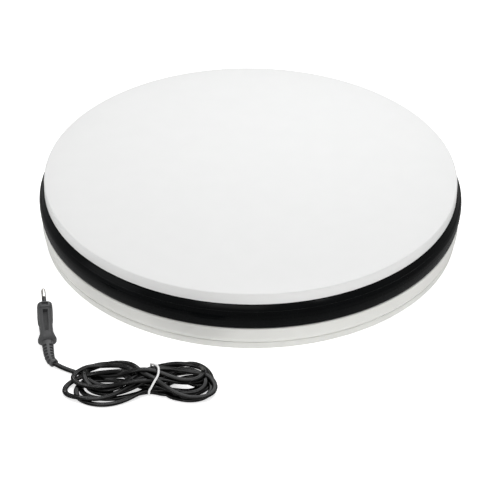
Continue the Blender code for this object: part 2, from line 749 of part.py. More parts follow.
def make_bottom_pan():
    profile = [(PAN_TOP_R, PAN_TOP_Z)]
    profile += edge_arc(PAN_LOW_R - PAN_EDGE, PAN_UNDER_Z + PAN_EDGE, PAN_EDGE, 0, -90)
    profile += [(0.0, PAN_UNDER_Z), (0.0, PAN_PAD_Z), (PAN_PAD_R, PAN_PAD_Z)]
    profile += [(PAN_PAD_R, PAN_FLOOR_Z), (PAN_WALL_INNER_R, PAN_FLOOR_Z)]
    profile += [(PAN_WALL_INNER_R, PAN_TOP_Z)]
    start = profile.index((0.0, PAN_UNDER_Z)) + 1
    profile = profile[start:] + profile[:start]
    pan = turned("bottom_pan", profile, "white_plastic", closed=False)
    for i, place in enumerate(pan_screw_places()):
        drill(pan, f"pan_hole_{i + 1}_cutter", SHANK_HOLE_R, 0.0, TOP_Z, place)
        drill(pan, f"pan_sink_{i + 1}_cutter", HEAD_HOLE_R, 0.0, HEAD_HOLE_TOP_Z, place)
        cap_screw(f"pan_screw_{i + 1}", place, HEAD_HOLE_TOP_Z - GAP, PAN_SCREW_TIP_Z)
    for i, place in enumerate(spindle_screw_places()):
        drill(pan, f"pan_spindle_{i + 1}_cutter", SHANK_HOLE_R, BLIND_Z, TOP_Z, place)
    for side in (-1, 1):
        place = MOTOR_PLACE + Vector((side * BRACKET_SCREW_X, 0.0, 0.0))
        tag = "left" if side < 0 else "right"
        drill(pan, f"pan_bracket_{tag}_cutter", SHANK_HOLE_R, BLIND_Z, TOP_Z, place)


def make_feet():
    for i in range(FOOT_COUNT):
        high = PAN_UNDER_Z - GAP
        profile = [(0.0, high), (FOOT_R, high), (FOOT_R - FOOT_DRAFT, 0.0), (0.0, 0.0)]
        foot = turned(f"foot_{i + 1}", profile, "black_rubber", SMALL_STEPS, closed=False)
        foot.location = polar(FOOT_ORBIT, 45.0 + 360.0 / FOOT_COUNT * i)


# ---- Rear panel, inlet and switch ---------------------------------------
def panel_box(name, x, width, height, near_y, far_y, material=None):
    low = (x - width / 2, near_y, PANEL_MID_Z - height / 2)
    high = (x + width / 2, far_y, PANEL_MID_Z + height / 2)
    return block(name, low, high, material)


def make_rear_panel():
    panel_low = (-PANEL_HALF_X, PANEL_Y, PANEL_LOW_Z)
    panel_high = (PANEL_HALF_X, PANEL_Y + PANEL_THICK, PANEL_TOP_Z)
    panel = block("rear_panel", panel_low, panel_high, "black_plastic")
    for tag, x, width in (("inlet", INLET_X, INLET_WIDTH), ("switch", SWITCH_X, SWITCH_WIDTH)):
        hole = panel_box(
            f"panel_{tag}_cutter", x, width + 2 * GAP, INLET_HEIGHT + 2 * GAP, INLET_BACK_Y, SHELL_R
        )
        boolean(panel, hole)


def make_inlet():
    """A recessed two-contact inlet with its flange outside the panel."""
    flange_y = BEZEL_Y + BEZEL_THICK
    bezel = panel_box(
        "power_inlet", INLET_X, INLET_BEZEL_WIDTH, BEZEL_HEIGHT, BEZEL_Y, flange_y, "black_plastic"
    )
    core = panel_box(
        "inlet_core_cutter", INLET_X, INLET_WIDTH, INLET_HEIGHT, INLET_BACK_Y, BEZEL_Y + BEZEL_THICK / 2
    )
    boolean(bezel, core, "UNION")
    recess = stadium(RECESS_WIDTH, RECESS_HEIGHT)
    outline = [(INLET_X + x, INLET_RECESS_Y, PANEL_MID_Z + z) for x, z in recess]
    boolean(bezel, extruded("inlet_recess_cutter", outline, (0.0, BEZEL_HEIGHT * 2, 0.0)))
    for side in (-1, 1):
        x = INLET_X + side * CONTACT_SPACING / 2
        tag = "left" if side < 0 else "right"
        make_contact(bezel, tag, x)


def make_contact(inlet, tag, x):
    tip = CONTACT_TIP_Y
    nose = CONTACT_NOSE
    tail = CONTACT_TAIL_Y
    profile = [(0.0, tip), (nose, tip), (CONTACT_R, tip - nose), (CONTACT_R, tail), (0.0, tail)]
    contact = turned(f"inlet_contact_{tag}", profile, "nickel", TINY_STEPS, closed=False)
    radius = CONTACT_R + GAP
    hole = rod(f"inlet_hole_{tag}_cutter", radius, tail, INLET_RECESS_Y + GAP, steps=TINY_STEPS)
    for obj in (contact, hole):
        obj.rotation_euler.x = -math.pi / 2
        obj.location = (x, 0.0, PANEL_MID_Z)
    boolean(inlet, hole)


def make_switch():
    flange_y = BEZEL_Y + BEZEL_THICK
    frame = panel_box(
        "switch_frame", SWITCH_X, SWITCH_BEZEL_WIDTH, BEZEL_HEIGHT, BEZEL_Y, flange_y, "black_plastic"
    )
    core = panel_box(
        "switch_core_cutter", SWITCH_X, SWITCH_WIDTH, INLET_HEIGHT, SWITCH_BACK_Y, BEZEL_Y + BEZEL_THICK / 2
    )
    boolean(frame, core, "UNION")
    pocket = panel_box(
        "switch_pocket_cutter", SWITCH_X, SWITCH_OPEN_WIDTH, SWITCH_OPEN_HEIGHT, SWITCH_POCKET_Y, SHELL_R
    )
    boolean(frame, pocket)


def make_rocker():
    """The rocker turns about an upright pin, and rests with one end pressed in."""
    axis = joint_empty("switch_rocker_axis", (SWITCH_X, ROCKER_PIVOT_Y, PANEL_MID_Z))
    half = [
        (ROCKER_HALF_WIDTH, ROCKER_CROWN),
        (ROCKER_HALF_WIDTH - GAP, -ROCKER_SHOULDER),
        (ROCKER_HEEL_HALF, -ROCKER_HEEL),
    ]
    outline = [(0.0, ROCKER_DISH)] + half + [(-x, y) for x, y in reversed(half)]
    points = [(x, y, -ROCKER_HEIGHT / 2) for x, y in outline]
    rocker = extruded("switch_rocker", points, (0.0, 0.0, ROCKER_HEIGHT), "black_plastic")
    rocker.rotation_euler.z = ROCKER_REST_TILT
    rocker.parent = axis


# ---- Wires inside -------------------------------------------------------
def smooth_route(points, step):
    """Points about a step apart on a Catmull-Rom curve through the route's own points."""
    points = [Vector(p) for p in points]
    padded = [2 * points[0] - points[1]] + points + [2 * points[-1] - points[-2]]
    route = [points[0]]
    for a, b, c, d in zip(padded, padded[1:], padded[2:], padded[3:]):
        pieces = max(1, round((c - b).length / step))
        for i in range(1, pieces + 1):
            t = i / pieces
            bend = (-a + 3 * b - 3 * c + d) * t**3 + (2 * a - 5 * b + 4 * c - d) * t**2
            route.append(b + ((c - a) * t + bend) / 2)
    return route


def tube(name, points, radius, material, step):
    """A round tube along a smooth curve, with closed ends."""
    curve = bpy.data.curves.new(name, "CURVE")
    curve.dimensions = "3D"
    curve.bevel_depth = radius
    curve.bevel_resolution = WIRE_SIDES
    curve.use_fill_caps = True
    curve.materials.append(finish(material))
    route = smooth_route(points, step)
    spline = curve.splines.new("POLY")
    spline.points.add(len(route) - 1)
    for point, place in zip(spline.points, route):
        point.co = (*place, 1.0)
    obj = bpy.data.objects.new(name, curve)
    bpy.context.scene.collection.objects.link(obj)
    return obj


def make_wires():
    """Inlet to motor, inlet to switch, and switch to motor."""
    tail = CONTACT_TAIL_Y - GAP
    left = INLET_X - CONTACT_SPACING / 2
    right = INLET_X + CONTACT_SPACING / 2
    switch_y = SWITCH_BACK_Y - GAP
    motor_y = MOTOR_PLACE.y + MOTOR_R + GAP
    motor_z = (MOTOR_Z + GEARBOX_Z) / 2
    start = (left, tail, PANEL_MID_Z)
    wire("wire_neutral", start, NEUTRAL_BENDS, (-MOTOR_TAG_X, motor_y, motor_z), "blue_wire")
    start = (right, tail, PANEL_MID_Z)
    wire("wire_live", start, LIVE_BENDS, (LIVE_END_X, switch_y, PANEL_MID_Z), "red_wire")
    start = (SWITCHED_END_X, switch_y, PANEL_MID_Z)
    wire("wire_switched", start, SWITCHED_BENDS, (MOTOR_TAG_X, motor_y, motor_z), "red_wire")


def wire(name, start, bends, end, material):
    route = [start] + [(x, y, PAN_FLOOR_Z + z) for x, y, z in bends] + [end]
    tube(name, route, WIRE_R, material, WIRE_STEP)


# ---- Detachable lead ----------------------------------------------------
def hank_half_width(x):
    """Half the bundle's width: two round lobes, drawn in at the tie."""
    if x < HANK_TIE_X:
        along = (HANK_TIE_X - x) / (HANK_TIE_X - HANK_LEFT_X)
    else:
        along = (x - HANK_TIE_X) / (HANK_RIGHT_X - HANK_TIE_X)
    swell = math.sin(math.pi * min(1.0, along / HANK_LOBE_PEAK)) ** HANK_LOBE_POWER
    end = math.sqrt(max(0.0, 1 - along**HANK_END_POWER))
    return (HANK_WAIST + (HANK_LOBE - HANK_WAIST) * swell) * end


def make_lead_cable():
    """The tied bundle, as one closed solid of its outer shape, with the stretch that runs to the plug."""
    spread = [math.cos(math.pi * i / HANK_POINTS) for i in range(HANK_POINTS + 1)]
    middle = (HANK_LEFT_X + HANK_RIGHT_X) / 2
    half = (HANK_RIGHT_X - HANK_LEFT_X) / 2
    back = [(middle + half * s, HANK_MID_Y + hank_half_width(middle + half * s)) for s in spread]
    front = [(x, 2 * HANK_MID_Y - y) for x, y in back[-2:0:-1]]
    points = [(x, y, HANK_Z) for x, y in back + front]
    cable = extruded("lead_cable", points, (0.0, 0.0, HANK_HEIGHT), "cord_black")
    boolean(cable, tie_loop("tie_groove_cutter", TIE_THICK, -2 * TIE_THICK, TIE_HALF_WIDTH + GAP))
    boolean(cable, connector_room())
    boolean(cable, plug_stretch(), "UNION")


def tie_loop(name, sunk, proud, half_width, material=None):
    """A square loop round the bundle's waist, from sunk inside its surface to proud outside it."""
    sleeve = waist_block(name, proud, half_width, material)
    core = waist_block(name + "_core", sunk, 2 * half_width)
    return boolean(sleeve, core)


def waist_block(name, inset, half_width, material=None):
    """The bundle's waist as a block, drawn in by inset on its four sides."""
    low = (HANK_TIE_X - half_width, HANK_MID_Y - HANK_WAIST + inset, HANK_Z + inset)
    high = (HANK_TIE_X + half_width, HANK_MID_Y + HANK_WAIST - inset, HANK_Z + HANK_HEIGHT - inset)
    return block(name, low, high, material)


def make_lead_tie():
    tie_loop("lead_tie", TIE_THICK - GAP, 0.0, TIE_HALF_WIDTH, "white_plastic")


def connector_room():
    """The open trough in the bundle that the connector lies in."""
    reach = CONNECTOR_NOSE + CONNECTOR_BODY + CONNECTOR_RELIEF + CONNECTOR_ROOM
    half = CONNECTOR_GRIP_WIDTH / 2 + GAP
    bottom = -CONNECTOR_GRIP_DEPTH / 2 - GAP
    trough = block("connector_room_cutter", (-reach, -half, bottom), (CONNECTOR_ROOM, half, HANK_HEIGHT))
    trough.location = CONNECTOR_FRONT
    trough.rotation_euler.z = CONNECTOR_HEADING
    return trough


def section(width, depth, along, wide_axis):
    """One ring of a moulding: a bar with round ends, wide along Z or along Y."""
    points = []
    for across, through in stadium(width, depth):
        side, up = (through, across) if wide_axis == "Z" else (across, through)
        points.append(Vector((along, side, up)))
    return points


def bent_section(place, size, turns):
    """A ring wide along Z, pitched down and turned aside about its own middle."""
    pitch, yaw = (math.radians(t) for t in turns)
    turn = Matrix.Rotation(yaw, 3, "Z") @ Matrix.Rotation(-pitch, 3, "Y")
    return [turn @ p + Vector(place) for p in section(*size, 0.0, "Z")]


def facing(place, heading, pitch=0.0):
    """A frame at place whose +X points along heading, raised by pitch."""
    turn = Matrix.Rotation(heading, 4, "Z") @ Matrix.Rotation(-pitch, 4, "Y")
    return Matrix.Translation(place) @ turn


def moved(rings, frame):
    return [[frame @ p for p in ring] for ring in rings]


def make_plug():
    """A slim two-pin plug that lies on its narrow edge. Local +X is where its pins point."""
    frame = facing((PLUG_FACE.x, PLUG_FACE.y, PLUG_HEIGHT), PLUG_HEADING, PLUG_PITCH)
    rings = [
        section(PLUG_WIDTH, PLUG_DEPTH, 0.0, "Z"),
        section(PLUG_WIDTH, PLUG_DEPTH, -PLUG_NOSE, "Z"),
        section(PLUG_SHOULDER_WIDTH, PLUG_SHOULDER_DEPTH, -PLUG_SHOULDER, "Z"),
        section(PLUG_WAIST_WIDTH, PLUG_WAIST_DEPTH, -PLUG_WAIST, "Z"),
        section(PLUG_REAR_WIDTH, PLUG_REAR_DEPTH, -PLUG_NECK, "Z"),
    ]
    rings += [bent_section(*bend) for bend in RELIEF_BEND]
    plug = lofted("lead_plug_body", moved(rings, frame), "black_plastic")
    for index, side in ((1, -1), (2, 1)):
        make_plug_pin(plug, index, frame @ Matrix.Translation((0.0, 0.0, side * PIN_SPACING / 2)))


def make_plug_pin(plug, index, frame):
    nose = PIN_NOSE
    profile = [(0.0, PIN_LENGTH), (nose, PIN_LENGTH), (PIN_R, PIN_LENGTH - nose)]
    profile += [(PIN_R, -PIN_SUNK), (0.0, -PIN_SUNK)]
    pin = turned(f"lead_plug_pin_{index}", profile, "nickel", TINY_STEPS, closed=False)
    hole = rod(f"plug_hole_{index}_cutter", PIN_HOLE_R, -PIN_SUNK - GAP, PIN_LENGTH, steps=TINY_STEPS)
    for obj in (pin, hole):
        obj.matrix_world = frame @ Matrix.Rotation(math.pi / 2, 4, "Y")
    boolean(plug, hole)


def make_connector():
    """A two-lobed connector for the base's inlet, lying flat in the bundle under the tie."""
    frame = facing(CONNECTOR_FRONT, CONNECTOR_HEADING)
    grip = -CONNECTOR_NOSE - CONNECTOR_BODY
    rings = [
        section(CONNECTOR_WIDTH, CONNECTOR_DEPTH, 0.0, "Y"),
        section(CONNECTOR_WIDTH, CONNECTOR_DEPTH, -CONNECTOR_NOSE, "Y"),
        section(CONNECTOR_GRIP_WIDTH, CONNECTOR_GRIP_DEPTH, -CONNECTOR_NOSE - CONNECTOR_GRIP_STEP, "Y"),
        section(CONNECTOR_REAR_WIDTH, CONNECTOR_GRIP_DEPTH, grip, "Y"),
        section(CONNECTOR_TIP_WIDTH, CONNECTOR_TIP_DEPTH, grip - CONNECTOR_RELIEF, "Y"),
    ]
    connector = lofted("lead_connector", moved(rings, frame), "black_plastic")
    for index, side in ((1, -1), (2, 1)):
        hole = rod(f"connector_hole_{index}_cutter", SOCKET_R, -SOCKET_DEPTH, SOCKET_DEPTH, steps=TINY_STEPS)
        aside = Matrix.Translation((0.0, side * CONTACT_SPACING / 2, 0.0))
        hole.matrix_world = frame @ aside @ Matrix.Rotation(math.pi / 2, 4, "Y")
        boolean(connector, hole)


def plug_stretch():
    """The short stretch of lead between the plug's relief and the bundle."""
    route = [Vector(place) for place in LEAD_ROUTE]
    return round_tube("plug_stretch_cutter", smooth_route(route, LEAD_THICK * 2), LEAD_THICK / 2)


def round_tube(name, route, radius):
    """A closed tube of round rings, each square to the route where it stands."""
    ways = [b - a for a, b in zip(route[:1] + route, route[1:] + route[-1:])]
    rings = []
    for place, way in zip(route, ways):
        side = way.cross(Vector((0.0, 0.0, 1.0))).normalized()
        up = side.cross(way).normalized()
        turns = [2 * math.pi * i / TINY_STEPS for i in range(TINY_STEPS)]
        rings.append([place + (side * math.cos(a) + up * math.sin(a)) * radius for a in turns])
    return lofted(name, rings, smooth=False)


# ---- Assembly -----------------------------------------------------------
def build():
    clear_scene()
    turn_axis = joint_empty("turntable_axis", (0.0, 0.0, 0.0))
    make_top_plate(turn_axis)
    make_hub(turn_axis)
    make_drive_gear(turn_axis)
    make_pinion(joint_empty("pinion_axis", MOTOR_PLACE))
    make_spindle()
    make_motor()
    make_motor_bracket()
    for index in range(ROLLER_COUNT):
        make_roller_set(index)
    make_bumper_ring()
    make_base_shell()
    make_bottom_pan()
    make_feet()
    make_rear_panel()
    make_inlet()
    make_switch()
    make_rocker()
    make_wires()
    make_lead_cable()
    make_lead_tie()
    make_plug()
    make_connector()


build()
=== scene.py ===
"""Looks for the turntable display stand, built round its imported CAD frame. Metres, +Z up."""

import json
import math

import bmesh
import bpy
import numpy as np
from mathutils import Matrix, Vector


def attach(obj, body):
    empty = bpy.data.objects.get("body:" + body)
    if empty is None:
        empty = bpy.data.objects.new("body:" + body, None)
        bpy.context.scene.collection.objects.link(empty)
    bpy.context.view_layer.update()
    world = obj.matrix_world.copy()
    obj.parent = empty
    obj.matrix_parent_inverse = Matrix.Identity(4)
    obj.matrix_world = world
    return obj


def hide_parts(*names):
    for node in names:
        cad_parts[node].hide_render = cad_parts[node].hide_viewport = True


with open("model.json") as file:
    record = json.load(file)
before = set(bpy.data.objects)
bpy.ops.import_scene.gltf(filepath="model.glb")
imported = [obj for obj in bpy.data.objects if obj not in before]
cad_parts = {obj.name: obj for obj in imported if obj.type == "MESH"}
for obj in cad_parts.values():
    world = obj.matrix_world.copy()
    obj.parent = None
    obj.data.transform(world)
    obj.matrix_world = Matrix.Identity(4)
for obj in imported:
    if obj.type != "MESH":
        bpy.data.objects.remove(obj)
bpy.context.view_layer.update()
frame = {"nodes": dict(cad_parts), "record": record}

# ---- Camera and stage ---------------------------------------------------
CAMERA_PLACE = (0.0, -1.96669, 1.34835)
CAMERA_RIGHT = (0.99994964, 0.00575181, 0.00822359)
CAMERA_UP = (-0.01003547, 0.57311859, 0.81941099)
CAMERA_LENS = 174.4
SENSOR_WIDTH = 36.0
CLIP_NEAR = 0.05
CLIP_FAR = 50.0
FLOOR_HALF = 6.0
FLOOR_GLOW = 0.62
WORLD_GLOW = 0.30
LIGHT_TARGET = (0.0, -0.05, 0.03)
POOL_TARGET = (0.09, 0.13, 0.06)

# ---- Shared sizes -------------------------------------------------------
FINE_STEPS = 256
HOLE_STEPS = 24
PIN_STEPS = 32
SHARP_DEGREES = 35.0
SAME_POINT = 1e-6
CUT_GAP = 0.0003

PLATE_R = 0.200
PLATE_TOP = 0.0638
PLATE_UNDER = 0.058
PLATE_BOSS_LOW = 0.0546
PLATE_BOSS_R = 0.045
PLATE_POCKET_R = 0.013
PLATE_SKIRT_LOW = 0.0523
PLATE_SKIRT_EDGE = 0.0004
PLATE_INNER_R = 0.1972
PLATE_EDGE = 0.0014
PLATE_RINGS = (0.25, 0.5, 0.75, 0.9)
PLATE_RIBS = 6
PLATE_RIB_NEAR = 0.042
PLATE_RIB_FAR = 0.148
PLATE_RIB_HALF = 0.00125
PLATE_RIB_SINK = 0.002

RING_TOP = (0.2008, 0.0517)
RING_BULGE = (0.2052, 0.0415)
RING_LOW = (0.2030, 0.0274)
RING_LEDGE_Z = 0.0466
RING_LEDGE_CLEAR = 0.0006
RING_NECK_SET = 0.0006
RING_STEP = 0.0011
RING_GROOVES = (0.0437, 0.0392, 0.0358, 0.0327, 0.0300)
RING_GROOVE_DEPTH = 0.00022
RING_GROOVE_HALF = 0.00035
RING_INNER_R = 0.1980
RING_LIP_R = 0.1940
RING_LIP_LOW = 0.0487
RING_SHARP_DEGREES = 28.0

SHELL_R = 0.2032
SHELL_TOP = 0.0271
SHELL_EDGE = 0.0012
SHELL_WALL_LOW = 0.0160
# Radius and height down the crease, under the straight wall.
SHELL_CREASE = (
    (0.2030, 0.0150),
    (0.2025, 0.0138),
    (0.2021, 0.0126),
    (0.2018, 0.0114),
    (0.2015, 0.0111),
)
SHELL_NECK_R = 0.1952
SHELL_NECK_WALL_R = 0.1977
SHELL_NECK_TOP = 0.0484
SHELL_INNER_R = 0.1997
SHELL_DECK_UNDER = 0.0241
PAN_UNDER = 0.0030
PAN_EDGE = 0.0012
PAN_LOW_R = 0.2011
PAN_WALL = ((0.2015, 0.0110), (0.2019, 0.0108), (0.2020, 0.0103), (0.2017, 0.0075))
PAN_SEAT_R = 0.1989
PAN_FLOOR_TOP = 0.0070
PAN_BOSS_R = 0.036
PAN_BOSS_TOP = 0.0090
PAN_DISH = 0.0004
PANEL_HALF_X = 0.0410
PANEL_Y = 0.1964
PANEL_TOP = 0.0253
PANEL_BACK = 0.005
PANEL_FRONT = 0.0025

SCREW_DEGREES = (30.0, 150.0, 210.0, 330.0)
SCREW_CIRCLE_R = 0.1935
SCREW_HOLE_R = 0.00235
SCREW_HOLE_TOP = 0.0186
SCREW_HEAD_R = 0.0041
SCREW_HEAD_TOP = 0.0055
SCREW_HOLE_STEPS = 16
BOSS_R = 0.0048
BOSS_LOW = 0.0073
BOSS_TOP = 0.0255

# ---- The flat flex and its bundle ---------------------------------------
FLEX_WIDE = 0.0049
FLEX_THIN = 0.0031
FLEX_STEP = 0.004
FLEX_FINE_STEP = 0.0025
FLEX_SHARP_DEGREES = 50.0
FLOOR_LIFT = 0.0003
TIE_X = -0.0862
HANK_Y = -0.2543
CONNECTOR_FRONT = Vector((-0.1100, -0.2480, 0.0083))
CONNECTOR_HEADING = math.radians(171.0)
CONNECTOR_LENGTH = 0.048
RELIEF_SLOTS = 6
MOULDING_SHARP_DEGREES = 30.0
PLUG_FACE = Vector((-0.1889, -0.1681, 0.01894))
PLUG_HEADING = math.radians(98.0)
PLUG_PITCH = math.radians(19.6)


# ---- Mesh helpers -------------------------------------------------------
def link(name, mesh, material):
    mesh.materials.append(material)
    obj = bpy.data.objects.new(name, mesh)
    bpy.context.scene.collection.objects.link(obj)
    return obj


def mesh_from(bm, name, material, sharp=SHARP_DEGREES):
    """Turns a bmesh into a linked object, shaded smooth but for edges sharper than this."""
    bmesh.ops.remove_doubles(bm, verts=bm.verts, dist=SAME_POINT)
    bmesh.ops.recalc_face_normals(bm, faces=bm.faces)
    mesh = bpy.data.meshes.new(name)
    bm.to_mesh(mesh)
    bm.free()
    mesh.shade_smooth()
    mesh.set_sharp_from_angle(angle=math.radians(sharp))
    return link(name, mesh, material)


def turned_bm(profile, steps, closed=True):
    """A solid of revolution about Z, as a bmesh. An open profile starts and ends on the axis."""
    bm = bmesh.new()
    verts = [bm.verts.new((r, 0.0, z)) for r, z in profile]
    edges = [bm.edges.new(pair) for pair in zip(verts, verts[1:])]
    if closed:
        edges.append(bm.edges.new((verts[-1], verts[0])))
    bmesh.ops.spin(
        bm,
        geom=verts + edges,
        cent=(0.0, 0.0, 0.0),
        axis=(0.0, 0.0, 1.0),
        angle=2 * math.pi,
        steps=steps,
        use_merge=True,
    )
    return bm


def turned(name, profile, material, closed=True, sharp=SHARP_DEGREES):
    return mesh_from(turned_bm(profile, FINE_STEPS, closed), name, material, sharp)


def rod_bm(radius, top, low, steps=HOLE_STEPS):
    """A round rod about Z, from one height down to another."""
    profile = [(0.0, top), (radius, top), (radius, low), (0.0, low)]
    return turned_bm(profile, steps, False)


def arc(centre_r, centre_z, radius, start, end, steps):
    """Points of a rounded corner in a turned profile, from start to end in degrees."""
    angles = [math.radians(start + (end - start) * i / steps) for i in range(steps + 1)]
    return [(centre_r + radius * math.cos(a), centre_z + radius * math.sin(a)) for a in angles]


def box_bm(low, high, bevel=0.0):
    bm = bmesh.new()
    low, high = Vector(low), Vector(high)
    bmesh.ops.create_cube(bm, size=1.0)
    bmesh.ops.scale(bm, vec=high - low, verts=bm.verts)
    bmesh.ops.translate(bm, vec=(low + high) / 2, verts=bm.verts)
    if bevel:
        bmesh.ops.bevel(
            bm, geom=list(bm.edges), offset=bevel, segments=2, profile=0.5, affect="EDGES"
        )
    return bm


def placed(bm, matrix):
    bmesh.ops.transform(bm, matrix=matrix, verts=bm.verts)
    return bm


def lofted_bm(rings):
    """Joins rings of points, each as long as the next, and caps both ends."""
    bm = bmesh.new()
    loops = [[bm.verts.new(p) for p in ring] for ring in rings]
    for near, far in zip(loops, loops[1:]):
        for i in range(len(near)):
            j = (i + 1) % len(near)
            bm.faces.new((near[i], near[j], far[j], far[i]))
    bm.faces.new(loops[0])
    bm.faces.new(loops[-1])
    bmesh.ops.recalc_face_normals(bm, faces=bm.faces)
    return bm


def boolean(target, cutter_bm, operation="DIFFERENCE"):
    """Applies a Boolean with a throw-away cutter, so that no modifier is left."""
    bmesh.ops.recalc_face_normals(cutter_bm, faces=cutter_bm.faces)
    mesh = bpy.data.meshes.new("cutter")
    cutter_bm.to_mesh(mesh)
    cutter_bm.free()
    cutter = bpy.data.objects.new("cutter", mesh)
    bpy.context.scene.collection.objects.link(cutter)
    modifier = target.modifiers.new("cut", "BOOLEAN")
    modifier.operation = operation
    modifier.solver = "EXACT"
    modifier.object = cutter
    bpy.context.view_layer.update()
    graph = bpy.context.evaluated_depsgraph_get()
    result = bpy.data.meshes.new_from_object(target.evaluated_get(graph))
    target.modifiers.clear()
    old = target.data
    target.data = result
    bpy.data.meshes.remove(old)
    bpy.data.objects.remove(cutter, do_unlink=True)
    result.shade_smooth()
    result.set_sharp_from_angle(angle=math.radians(SHARP_DEGREES))


def stand_in(obj, body, slot, *nodes):
    """obj moves with this body and stands for these CAD nodes, which it hides; slot is not used."""
    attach(obj, body)
    if nodes:
        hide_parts(*nodes)
    return obj


# ---- Materials ----------------------------------------------------------
# Blender's noise mostly stays within these.
NOISE_LOW = 0.3
NOISE_HIGH = 0.7


class Look:
    """A Principled material built node by node."""

    def __init__(self, name, colour, roughness, metallic=0.0):
        self.material = bpy.data.materials.new(name)
        self.material.use_nodes = True
        self.tree = self.material.node_tree
        self.shader = self.tree.nodes["Principled BSDF"]
        self.put("Base Color", (*colour, 1.0))
        self.put("Roughness", roughness)
        self.put("Metallic", metallic)
        self.colour = colour

    def put(self, socket, value):
        self.shader.inputs[socket].default_value = value

    def node(self, kind, **values):
        node = self.tree.nodes.new(kind)
        for key, value in values.items():
            if key in node.inputs:
                node.inputs[key].default_value = value
            else:
                setattr(node, key, value)
        return node

    def wire(self, output, socket):
        self.tree.links.new(output, socket)

    def noise(self, scale, detail, stretch=None):
        """Noise of this many cycles a metre, stretched along the axes on request."""
        source = self.node("ShaderNodeTexCoord").outputs["Object"]
        if stretch:
            mapping = self.node("ShaderNodeMapping")
            mapping.inputs["Scale"].default_value = stretch
            self.wire(source, mapping.inputs["Vector"])
            source = mapping.outputs["Vector"]
        texture = self.node("ShaderNodeTexNoise", Scale=scale, Detail=detail)
        self.wire(source, texture.inputs["Vector"])
        return texture.outputs["Fac"]

    def spread(self, factor, low, high):
        """Maps a noise factor onto a range of numbers."""
        node = self.node("ShaderNodeMapRange")
        self.wire(factor, node.inputs["Value"])
        node.inputs["From Min"].default_value = NOISE_LOW
        node.inputs["From Max"].default_value = NOISE_HIGH
        node.inputs["To Min"].default_value = low
        node.inputs["To Max"].default_value = high
        return node.outputs["Result"]

    def tint(self, factor, dark, light):
        """Colour that runs between two shades of the base colour."""
        ramp = self.node("ShaderNodeValToRGB")
        first, last = ramp.color_ramp.elements
        first.position = NOISE_LOW
        last.position = NOISE_HIGH
        first.color = (*(c * dark for c in self.colour), 1.0)
        last.color = (*(min(1.0, c * light) for c in self.colour), 1.0)
        self.wire(factor, ramp.inputs["Fac"])
        self.wire(ramp.outputs["Color"], self.shader.inputs["Base Color"])

    def rough(self, factor, low, high):
        self.wire(self.spread(factor, low, high), self.shader.inputs["Roughness"])

    def bump(self, factor, distance):
        """Adds relief of this depth in metres."""
        node = self.node("ShaderNodeBump", Strength=1.0, Distance=distance)
        self.wire(factor, node.inputs["Height"])
        self.wire(node.outputs["Normal"], self.shader.inputs["Normal"])


def moulded(name, colour, roughness, grain, depth, mottle):
    """Moulded plastic or rubber: fine grain, slight mottling and uneven gloss."""
    look = Look(name, colour, roughness)
    fine = look.noise(grain, 2.0)
    broad = look.noise(grain / 60.0, 3.0)
    look.tint(broad, 1.0 - mottle, 1.0 + mottle)
    look.rough(look.noise(grain / 25.0, 3.0), roughness * 0.9, roughness * 1.12)
    look.bump(fine, depth)
    return look


def metal(name, colour, roughness, stretch, depth):
    """Turned, drawn or plated metal with fine lines along one way."""
    look = Look(name, colour, roughness, 1.0)
    lines = look.noise(900.0, 4.0, (1.0, 1.0, stretch))
    look.tint(look.noise(160.0, 3.0), 0.93, 1.05)
    look.rough(lines, roughness * 0.8, roughness * 1.3)
    look.bump(lines, depth)
    return look


# Moulded slots: colour, roughness, grain in cycles a metre, its depth, and mottling.
MOULDED = {
    "plate_white": ((0.83, 0.83, 0.822), 0.36, 3000.0, 0.00001, 0.006),
    "base_white": ((0.785, 0.785, 0.755), 0.34, 1500.0, 0.00001, 0.02),
    "black_plastic": ((0.017, 0.017, 0.018), 0.48, 3500.0, 0.00003, 0.15),
    "switch_black": ((0.012, 0.012, 0.013), 0.25, 3000.0, 0.00001, 0.1),
    "black_rubber": ((0.02, 0.02, 0.02), 0.75, 2500.0, 0.00005, 0.2),
    "natural_nylon": ((0.76, 0.74, 0.66), 0.45, 2500.0, 0.00002, 0.04),
    "wire_red": ((0.42, 0.03, 0.025), 0.35, 1800.0, 0.00001, 0.08),
    "wire_blue": ((0.03, 0.09, 0.42), 0.35, 1800.0, 0.00001, 0.08),
    "cord_black": ((0.003, 0.003, 0.003), 0.19, 1800.0, 0.000002, 0.2),
    "lead_moulding": ((0.075, 0.076, 0.078), 0.38, 2200.0, 0.00004, 0.15),
    "pin_sleeve": ((0.02, 0.02, 0.02), 0.35, 2500.0, 0.00001, 0.1),
    "tie_white": ((0.95, 0.95, 0.94), 0.4, 2500.0, 0.00002, 0.03),
}
# Metal slots: colour, roughness, how far its lines are drawn out, and their depth.
METALS = {
    "bright_steel": ((0.60, 0.60, 0.61), 0.3, 14.0, 0.000015),
    "zinc_plated": ((0.62, 0.62, 0.58), 0.34, 6.0, 0.000015),
    "brass": ((0.72, 0.52, 0.22), 0.3, 10.0, 0.000015),
    "nickel": ((0.74, 0.72, 0.68), 0.16, 3.0, 0.000005),
}


def ribbed_gloss(name):
    """Glossy black with faint lines round the ring."""
    ring = Look(name, (0.0016, 0.0021, 0.0024), 0.22)
    ring.tint(ring.noise(40.0, 3.0), 0.8, 1.25)
    ring.rough(ring.noise(70.0, 4.0, (1.0, 1.0, 12.0)), 0.17, 0.27)
    ring.bump(ring.noise(500.0, 2.0, (0.05, 0.05, 1.0)), 0.00003)
    ring.put("Specular IOR Level", 0.12)
    return ring


